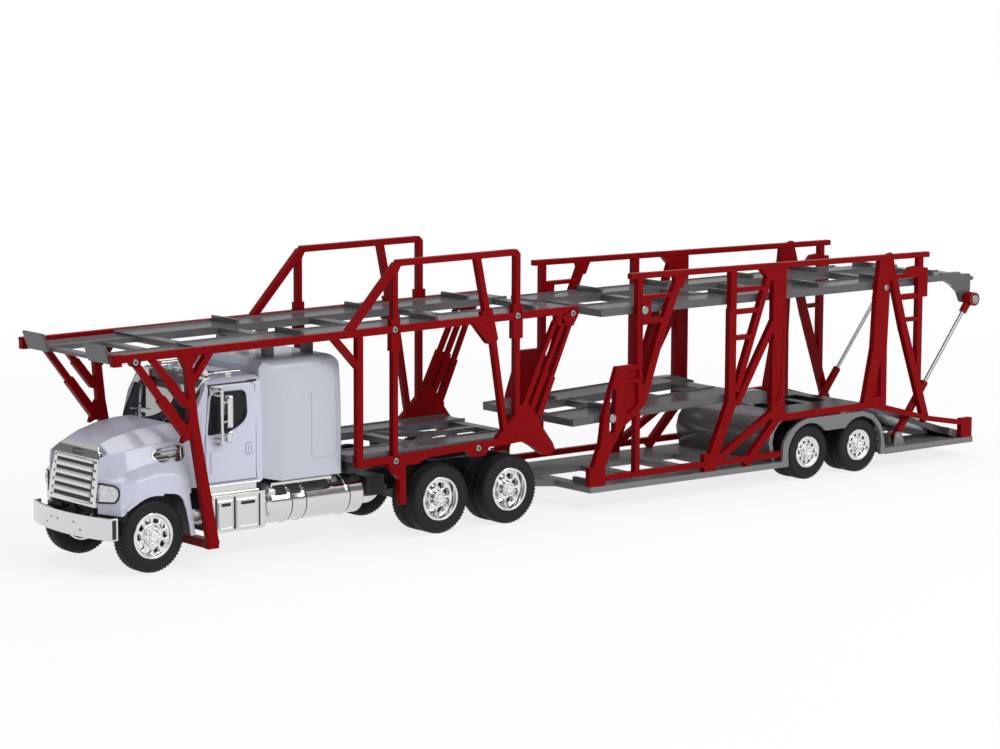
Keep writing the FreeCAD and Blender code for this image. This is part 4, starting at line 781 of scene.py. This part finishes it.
# Painted shade: a dark pad fills each vent opening.
dark_trim_and_shade("vent_dark_parts", both([pad(VENT, on_flank, -0.3, 0.12, 0.05)]))
slats = [band(VENT, 0.5, on_flank, -0.2, 0.45)]
for low, left, right in ((49.0, 4.6, 16.8), (50.6, 3.2, 16.8), (52.2, 3.0, 16.6)):
    slat = vectors((left, low), (right, low + 0.3), (right, low + 1.15), (left, low + 0.8))
    slats.append(pad(slat, on_flank, 0.0, 0.4, 0.15))
slats.append(pad(box_outline(16.2, 17.9, 49.0, 54.2, 0.6), on_flank, 0.0, 0.55, 0.3))
vents = plated_trim("vent_slats", both(slats))
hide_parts("bonnet_vents")

# %% [markdown]
# Glass sits in dark rubber, a door shows as a dark seam, and its handle is a shallow rounded frame. The
# door leans in a little above its waist, so everything on it is laid on that slope.

# %% Seals, seams and handles
CAB_Y, WAIST, ROOF, LEAN = 29.5, 60.0, 82.5, 1.8


def on_cab_side(a, b, h):
    return Vector((a, -(CAB_Y - LEAN * max(0.0, (b - WAIST) / (ROOF - WAIST)) + h), b))


on_screen = leaning(20.0, 58.0, 0.452, 0.892)
window = softened_outline([(30.4, 57.4), (33.6, 76.7), (52.6, 76.7), (53.0, 63.4), (44.0, 58.4)],
                          [1.8, 2.8, 2.8, 4.4, 3.4])
window_frames = both([band(shrunk(window, -1.0), 1.1, on_cab_side, -0.2, 0.3, 0.15)])
assembled("door_window_frames", window_frames, "cab white", "tractor")
screen_line = softened_outline([(-24.6, 1.6), (24.6, 1.6), (26.0, 22.6), (-26.0, 22.6)], 2.0)
drip = vectors((32.2, 60.0), (32.2, 80.2), (57.0, 80.2), (57.0, 79.6), (33.2, 79.6), (32.9, 60.0))
seals = both([band(window, 0.55, on_cab_side, -0.4, 0.1)]) + [band(screen_line, 0.9, on_screen, -0.3, 0.15)]
dark_trim_and_shade("cab_seals", seals + both([pad(drip, on_cab_side, -0.4, 0.12, 0.04)]))
door = softened_outline([(29.2, 35.6), (29.2, 56.5), (32.4, 80.0), (57.8, 80.0), (57.8, 35.6)], [0.5, 3, 3, 3, 0.5])
seams = both([band(door, 0.4, on_cab_side, -0.4, 0.05, 0.02),
              pad(box_outline(51.3, 54.8, 47.2, 52.8, 0.9), on_cab_side, -0.2, 0.03, 0.01),
              pad(box_outline(32.0, 33.2, 40.8, 50.2, 0.4), on_cab_side, -0.2, 0.03, 0.01)])
assembled("cab_seams", seams, "seam grey", "tractor")
handles = [pad(box_outline(51.6, 54.5, 47.5, 52.5, 0.8), on_cab_side, -0.1, 0.12, 0.08),
           pad(box_outline(52.75, 53.35, 48.2, 51.8, 0.25), on_cab_side, 0.0, 0.5, 0.15),
           pad(box_outline(59.0, 59.7, 40.0, 74.0, 0.3), on_cab_side, -0.1, 0.2, 0.1),
           pad(box_outline(32.2, 33.0, 41.0, 50.0, 0.3), on_cab_side, -0.1, 0.15, 0.08)]
assembled("door_handles", both(handles), "cab white", "tractor")

# %% [markdown]
# Two wipers lie on a plated moulding at the foot of the windscreen. Thin black sheets stand just inside the
# cab's shell as painted shade, which is why its side windows look dark, and they leave the panes free.

# %% Wipers and cab shade sheets
wipers = []
for s in (-1, 1):
    arm = [on_screen(s * 5.0, 1.0, 0.3), on_screen(s * 9.0, 5.0, 0.9), on_screen(s * 13.0, 8.6, 0.7)]
    wipers.append(tube(arm, 0.32, 8, 1.0))
    wipers.append(tube([on_screen(s * 5.5, 9.2, 0.5), on_screen(s * 20.0, 7.6, 0.5)], 0.28, 8))
wipers.append(tube([on_screen(-24.0, 1.4, 0.6), on_screen(24.0, 1.4, 0.6)], 0.5, 10))
plated_trim("wipers", wipers)


def sheet(x0, x1, y0, y1, z0, z1):
    return prism([(x0, z0), (x1, z0), (x1, z1), (x0, z1)], y0, y1)


# Painted shade: black sheets just inside the cab shell.
shade_sheets = [sheet(58.7, 59.0, -27.4, 27.4, 36.4, 80.6), sheet(33.0, 58.8, -25.6, 25.6, 80.5, 80.8)]
shade_sheets += both([sheet(30.0, 58.8, -27.9, -27.7, 36.4, 56.6), sheet(53.8, 58.8, -27.6, -27.3, 56.6, 80.6)])
assembled("cab_lining", shade_sheets, "seat black", "tractor")

# %% [markdown]
# A bent plated tube stands off the door and carries a tall head and a small one below it. Each head is a
# shell with a dark glass let into its rear face.

# %% Mirrors
def on_mirror(x_face, sign):
    return lambda a, b, h: Vector((x_face + sign * h, a, b))


ARM_X, ARM_Y = 35.6, -34.2
frame_path = [(34.4, -28.0, 78.4), (ARM_X, ARM_Y, 78.4), (ARM_X, ARM_Y, 53.8), (34.2, -29.3, 53.8)]
mirror_parts = [tube(frame_path, 0.75, 12, 2.2), tube([(34.4, -28.2, 75.6), (ARM_X, ARM_Y, 75.6)], 0.5, 10),
                tube([(34.2, -29.4, 56.2), (ARM_X, ARM_Y, 56.2)], 0.5, 10)]
mirror_parts += [tube([(ARM_X, ARM_Y, z), (38.4, -34.8, z)], 0.5, 10) for z in (64.0, 72.6, 57.2)]
heads = [box_outline(-37.0, -32.6, 61.2, 75.8, 1.2), box_outline(-36.6, -32.9, 54.6, 59.8, 1.0)]
for head in heads:
    mirror_parts.append(pad(head, on_mirror(39.4, -1), 0.0, 2.1, 0.7))
    mirror_parts.append(band(head, 0.4, on_mirror(39.3, 1), 0.0, 0.35))
mirrors = plated_trim("mirror_arms", both(mirror_parts))
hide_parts("mirrors")
glasses = [pad(shrunk(head, 0.45), on_mirror(39.35, 1), 0.0, 0.12, 0.05) for head in heads]
assembled("mirror_glass", both(glasses), "seal black", "tractor")

# %% [markdown]
# Below the doors are plated step boxes with dark gaps between their lids, drawn as black strips of painted
# shade, and fuel tanks held by straps, with a rubber tread on top. The tank's place function bends a flat
# outline round its skin, so the tread is drawn flat like any other pad.

# %% Step boxes and fuel tanks
TANK_R, TANK_Y, TANK_Z = 9.4, -23.4, 22.8
on_step = flat_side(32.5)


def on_tank(a, b, h):
    """On the tank's skin; b is the distance round it from the top."""
    angle = b / TANK_R
    return Vector((a, TANK_Y - (TANK_R + h) * math.sin(angle), TANK_Z + (TANK_R + h) * math.cos(angle)))


def hoop_on_tank(x0, x1, low, high, sides=64):
    return skinned([[on_tank(x, 2 * math.pi * TANK_R * k / sides, h) for k in range(sides)]
                    for x, h in ((x0, low), (x0, high), (x1, high), (x1, low))], closed=True)


# Painted shade: black strips in the gaps between the step lids.
dark = [pad(box_outline(a0, a1, 14.6, 29.4, 0.2), on_step, -0.6, -0.35, 0.05)
        for a0, a1 in ((33.0, 34.0), (43.1, 44.1), (56.7, 57.5))]
dark += [pad(box_outline(a0, a1, 25.4, 26.9, 0.6), on_step, -0.1, 0.05, 0.02)
         for a0, a1 in ((36.0, 41.2), (46.6, 54.4))]
dark += [hoop_on_tank(strap + 1.8, strap + 2.4, -0.1, 0.12) for strap in (72.6, 80.6, 105.2)]
mat = softened_outline([(66.0, 0.8), (98.6, 0.8), (98.6, 10.2), (66.0, 10.2)], [0.3, 4.0, 4.0, 0.3])
dark.append(pad(mat, on_tank, -0.1, 0.28, 0.1))
for k in range(7):
    row = 1.6 + 1.15 * k
    end = 97.0 if 0 < k < 6 else 95.6
    rib = vectors((67.0, row), (end, row), (end, row + 0.8), (67.0, row + 0.8))
    dark.append(pad(rib, on_tank, 0.2, 0.5, 0.12))
dark_trim_and_shade("tank_and_step_rubber", both(dark))
lids = [band(box_outline(a0, a1, 15.2, 27.8, 0.9), 0.5, on_step, -0.1, 0.25)
        for a0, a1 in ((34.4, 42.6), (44.6, 56.2))]
lids += [tube([(30.8, -30.3, 34.6), (58.6, -30.3, 34.6)], 0.45, 10),
         tube([(31.4, -31.2, 31.0), (57.0, -31.2, 31.0)], 0.55, 10)]
plated_trim("step_lids", both(lids))

# %% [markdown]
# The toy is screwed together through its side frames, and the decks turn on pins. Each head is a turned
# button with a socket. The node tree sets one at each place, and it rides on the part it would turn with.
# Black discs at the bottoms of the screw seats, in the sockets and round the pin heads are painted shade.

# %% Screw and pin heads
# stations and heights of the pins that show
DECK_PIN, MID_HINGE, SLOT_PIN = (282.2, 95.8), (372.8, 43.8), (262.0, 44.4)
LIFT_FOOT, LIFT_EYE = (463.8, 15.2), (518.0, 83.5)


def head_item(name, radius, depth):
    profile = [(radius, 0.6), (radius, -depth + 0.18), (radius - 0.2, -depth), (radius * 0.5, -depth),
               (radius * 0.42, -depth + 0.3), (radius * 0.1, -depth + 0.35)]
    return disc_item(name, profile, 28)


screw_head = head_item("screw_head", 1.5, 0.5)
stud_head = head_item("stud_head", 1.35, 0.35)
eye_head = head_item("eye_head", 2.35, 0.5)
pin_head = disc_item("pin_head", [(2.05, 0.6), (2.05, -0.2), (1.85, -0.33), (0.9, -0.38)], 28)
# Painted shade: black discs for the dark round the pins, in the screw sockets and in the screw seats.
pin_ring = disc_item("pin_ring", [(2.35, 0.3), (2.35, -0.04)], 28)
screw_socket = disc_item("screw_socket", [(0.55, 0.3), (0.55, -0.05), (0.45, -0.08)], 6)
screw_seat = disc_item("screw_seat", [(SCREW_SEAT_R - 0.05, 0.3), (SCREW_SEAT_R - 0.05, -0.02)], 28)
# finish and slot
PLATED, SHADE_BLACK, RED = ("screw plating", "bright_steel"), ("seal black", "black_tyre"), ("rack red", "frame_red")
HEADS = [
    # piece, item, look, body, stations and heights, face y
    ("rack_screws", screw_head, PLATED, "tractor", RACK_SCREWS, RACK_FACE_Y - SCREW_DEPTH + 0.05),
    ("rack_screw_seats", screw_seat, SHADE_BLACK, "tractor", RACK_SCREWS, RACK_FACE_Y - SCREW_DEPTH),
    ("rack_screw_sockets", screw_socket, SHADE_BLACK, "tractor", RACK_SCREWS, RACK_FACE_Y - 0.32),
    ("trailer_screws", screw_head, PLATED, "trailer", [(448.9, 94.8)], 38.1),
    ("upper_deck_pin_heads", pin_head, PLATED, "trailer", [DECK_PIN], 38.4),
    ("lift_foot_heads", stud_head, PLATED, "trailer", [LIFT_FOOT], 34.8),
    ("mid_deck_hinge_heads", stud_head, RED, "mid_deck", [MID_HINGE], 38.4),
    ("upper_deck_pin_rings", pin_ring, SHADE_BLACK, "trailer", [DECK_PIN], 38.4),
    ("mid_deck_slot_rings", pin_ring, SHADE_BLACK, "mid_deck", [SLOT_PIN], 38.4),
    ("mid_deck_slot_heads", pin_head, PLATED, "mid_deck", [SLOT_PIN], 38.4),
    ("lift_eye_heads", eye_head, PLATED, "upper_deck", [LIFT_EYE], 36.45),
]
for name, source, (material, slot), body, places, face in HEADS:
    centres = [(x, sign * face, z) for sign in (-1, 1) for x, z in places]
    rings(name, centres, 1, 0.0, source, material, body)

# %% [markdown]
# A gusset fills the corner under each leaning post of the rear hoop, where the brace was cut away above.
# The eye of each lift rod is a red moulding pushed over its end.

# %% Gussets of the hoops and red eyes of the lift rods
gusset = vectors(*GUSSET_EDGE, (184.6, 88.4), (183.0, 97.8), (175.0, 97.8))
gussets = both([pad(gusset, flat_side(RACK_FACE_Y), -3.15, -0.04, 0.1)])
assembled("hoop_gussets", gussets, "rack red", "tractor")
eye_x, eye_z = LIFT_EYE
lean = (Vector((LIFT_FOOT[0], 0, LIFT_FOOT[1])) - Vector((eye_x, 0, eye_z))).normalized()
for side, sign in (("left", -1), ("right", 1)):
    inner, outer = sign * 30.55, sign * 36.45
    boss = turned([(3.6, inner), (3.6, outer - sign * 0.3), (3.3, outer), (2.1, outer), (2.1, inner)], eye_x, eye_z, 48)
    centre = Vector((eye_x, sign * 32.4, eye_z))
    neck = tube([centre + lean * 2.4, centre + lean * 8.4], 2.05, 20)
    assembled("lift_eye_" + side, [boss, neck], "rack red", "lift_rod_" + side)

# %% [markdown]
# A long lens, as for a small model on a table, looks back along the left side from ahead of the bumper
# and a little above the cab's roof. Its three turns are typed as angles, which say exactly where it
# looks; a target to track would leave its roll to chance.

# %% Camera
CAMERA_AT = at(-829.6, -1282.2, 303.98)
YAW, PITCH, ROLL = 0.68725, -0.14308, -0.00465
SENSOR_MM, LENS_PER_SENSOR = 36.0, 3.45843
turn = Matrix.Rotation(-YAW, 4, "Z") @ Matrix.Rotation(math.pi / 2 + PITCH, 4, "X") @ Matrix.Rotation(-ROLL, 4, "Z")
camera = linked_object("camera", set_up(bpy.data.cameras.new("camera"), sensor_width=SENSOR_MM,
                                        lens=LENS_PER_SENSOR * SENSOR_MM, clip_start=0.05, clip_end=50.0))
camera.matrix_world = Matrix.Translation(CAMERA_AT) @ turn
bpy.context.scene.camera = camera
print("camera at", [round(v, 3) for v in CAMERA_AT])

# %% [markdown]
# The camera sees the room round the table as white, the toy is lit by it at a plain level, and bright
# plating mirrors a simple room: white at the horizon, a darker wall above it and a bright ceiling. A
# panorama of a real studio would do the same, but a colour ramp needs no file.

# %% World
def grey(level):
    return level, level, level, 1.0


scene = bpy.context.scene
scene.view_settings.view_transform = "Standard"
world = bpy.data.worlds.new("studio")
scene.world = world
world.use_nodes = True
tree = world.node_tree
air = fed(tree.nodes["Background"], {"Color": (0.93, 0.96, 1.0, 1.0), "Strength": 0.42})
white = add_node(tree, "ShaderNodeBackground", {"Color": grey(1.0), "Strength": 1.0})
direction = add_node(tree, "ShaderNodeTexCoord").outputs["Generated"]
height = add_node(tree, "ShaderNodeSeparateXYZ", {0: direction}).outputs["Z"]
share = add_node(tree, "ShaderNodeMapRange", {"Value": height, "From Min": -1.0}).outputs["Result"]
room = add_node(tree, "ShaderNodeValToRGB", {0: share})
ramp = room.color_ramp.elements
ramp[0].position = 0.50
ramp[0].color, ramp[1].color = grey(1.0), grey(0.95)
for position, level in ((0.54, 0.9), (0.60, 0.22), (0.72, 0.16), (0.80, 0.85)):
    ramp.new(position).color = grey(level)
mirrored = add_node(tree, "ShaderNodeBackground", {"Color": room.outputs[0]})
path = add_node(tree, "ShaderNodeLightPath").outputs
seen = add_node(tree, "ShaderNodeMath", {0: path["Is Camera Ray"], 1: path["Is Transmission Ray"]},
                operation="MAXIMUM")
lit = add_node(tree, "ShaderNodeMixShader", {0: path["Is Glossy Ray"], 1: air.outputs[0], 2: mirrored.outputs[0]})
shown = add_node(tree, "ShaderNodeMixShader", {0: seen.outputs[0], 1: lit.outputs[0], 2: white.outputs[0]})
fed(tree.nodes["World Output"], {0: shown.outputs[0]})
print("world nodes:", len(tree.nodes))

# %% [markdown]
# Two wide lamps give the soft light of a studio: one high on the left, where most surfaces face, and one
# above for the decks. A wide lamp leaves soft shadows, as a window does.

# %% Lamps
def lamp(name, place, target, size, power):
    """Wide area lamp that looks at a target."""
    data = bpy.data.lights.new(name, "AREA")
    holder = linked_object(name, set_up(data, shape="RECTANGLE", size=size[0], size_y=size[1], energy=power))
    holder.location = place
    holder.rotation_euler = (Vector(target) - Vector(place)).to_track_quat("-Z", "Y").to_euler()


lamp("key", (0.15, -1.25, 0.85), (0, 0, 0.05), (1.3, 0.8), 12.0)
lamp("top", (0.1, 0.1, 1.3), (0, 0, 0), (1.6, 0.7), 9.0)
print("lamps:", len(bpy.data.lights))

# %% [markdown]
# The floor is pale paper. Close to the toy it keeps its shadow, and further off it is as white as the
# room, so no edge shows. That white is a glow that only the camera and reflections see: it adds no light
# to the toy.

# %% Floor
FLOOR_HALF = 6.0
SHADOW_FROM, SHADOW_TO = 0.25, 0.80
corners = [(sx * FLOOR_HALF, sy * FLOOR_HALF, 0) for sx, sy in ((-1, -1), (1, -1), (1, 1), (-1, 1))]
floor_mesh = bpy.data.meshes.new("floor")
floor_mesh.from_pydata(corners, [], [(0, 1, 2, 3)])
floor = linked_object("floor", floor_mesh)
floor_paper = bpy.data.materials.new("floor paper")
floor_paper.use_nodes = True
tree = floor_paper.node_tree
paper = fed(tree.nodes["Principled BSDF"], {"Base Color": (0.86, 0.86, 0.87, 1.0), "Roughness": 0.9})
glow = add_node(tree, "ShaderNodeEmission", {"Strength": 1.0})
path = add_node(tree, "ShaderNodeLightPath").outputs
seen = add_node(tree, "ShaderNodeMath", {0: path["Is Camera Ray"], 1: path["Is Glossy Ray"]}, operation="MAXIMUM")
place = add_node(tree, "ShaderNodeTexCoord").outputs["Object"]
reach = add_node(tree, "ShaderNodeVectorMath", {0: place}, operation="LENGTH").outputs["Value"]
fade = add_node(tree, "ShaderNodeMapRange", {"Value": reach, "From Min": SHADOW_FROM, "From Max": SHADOW_TO,
                                             "To Min": 0.80, "To Max": 1.0}, interpolation_type="SMOOTHSTEP")
share = add_node(tree, "ShaderNodeMath", {0: seen.outputs[0], 1: fade.outputs["Result"]}, operation="MULTIPLY")
mix = add_node(tree, "ShaderNodeMixShader", {0: share.outputs[0], 1: paper.outputs[0], 2: glow.outputs[0]})
fed(tree.nodes["Material Output"], {0: mix.outputs[0]})
floor_mesh.materials.append(floor_paper)
print("studio ready")
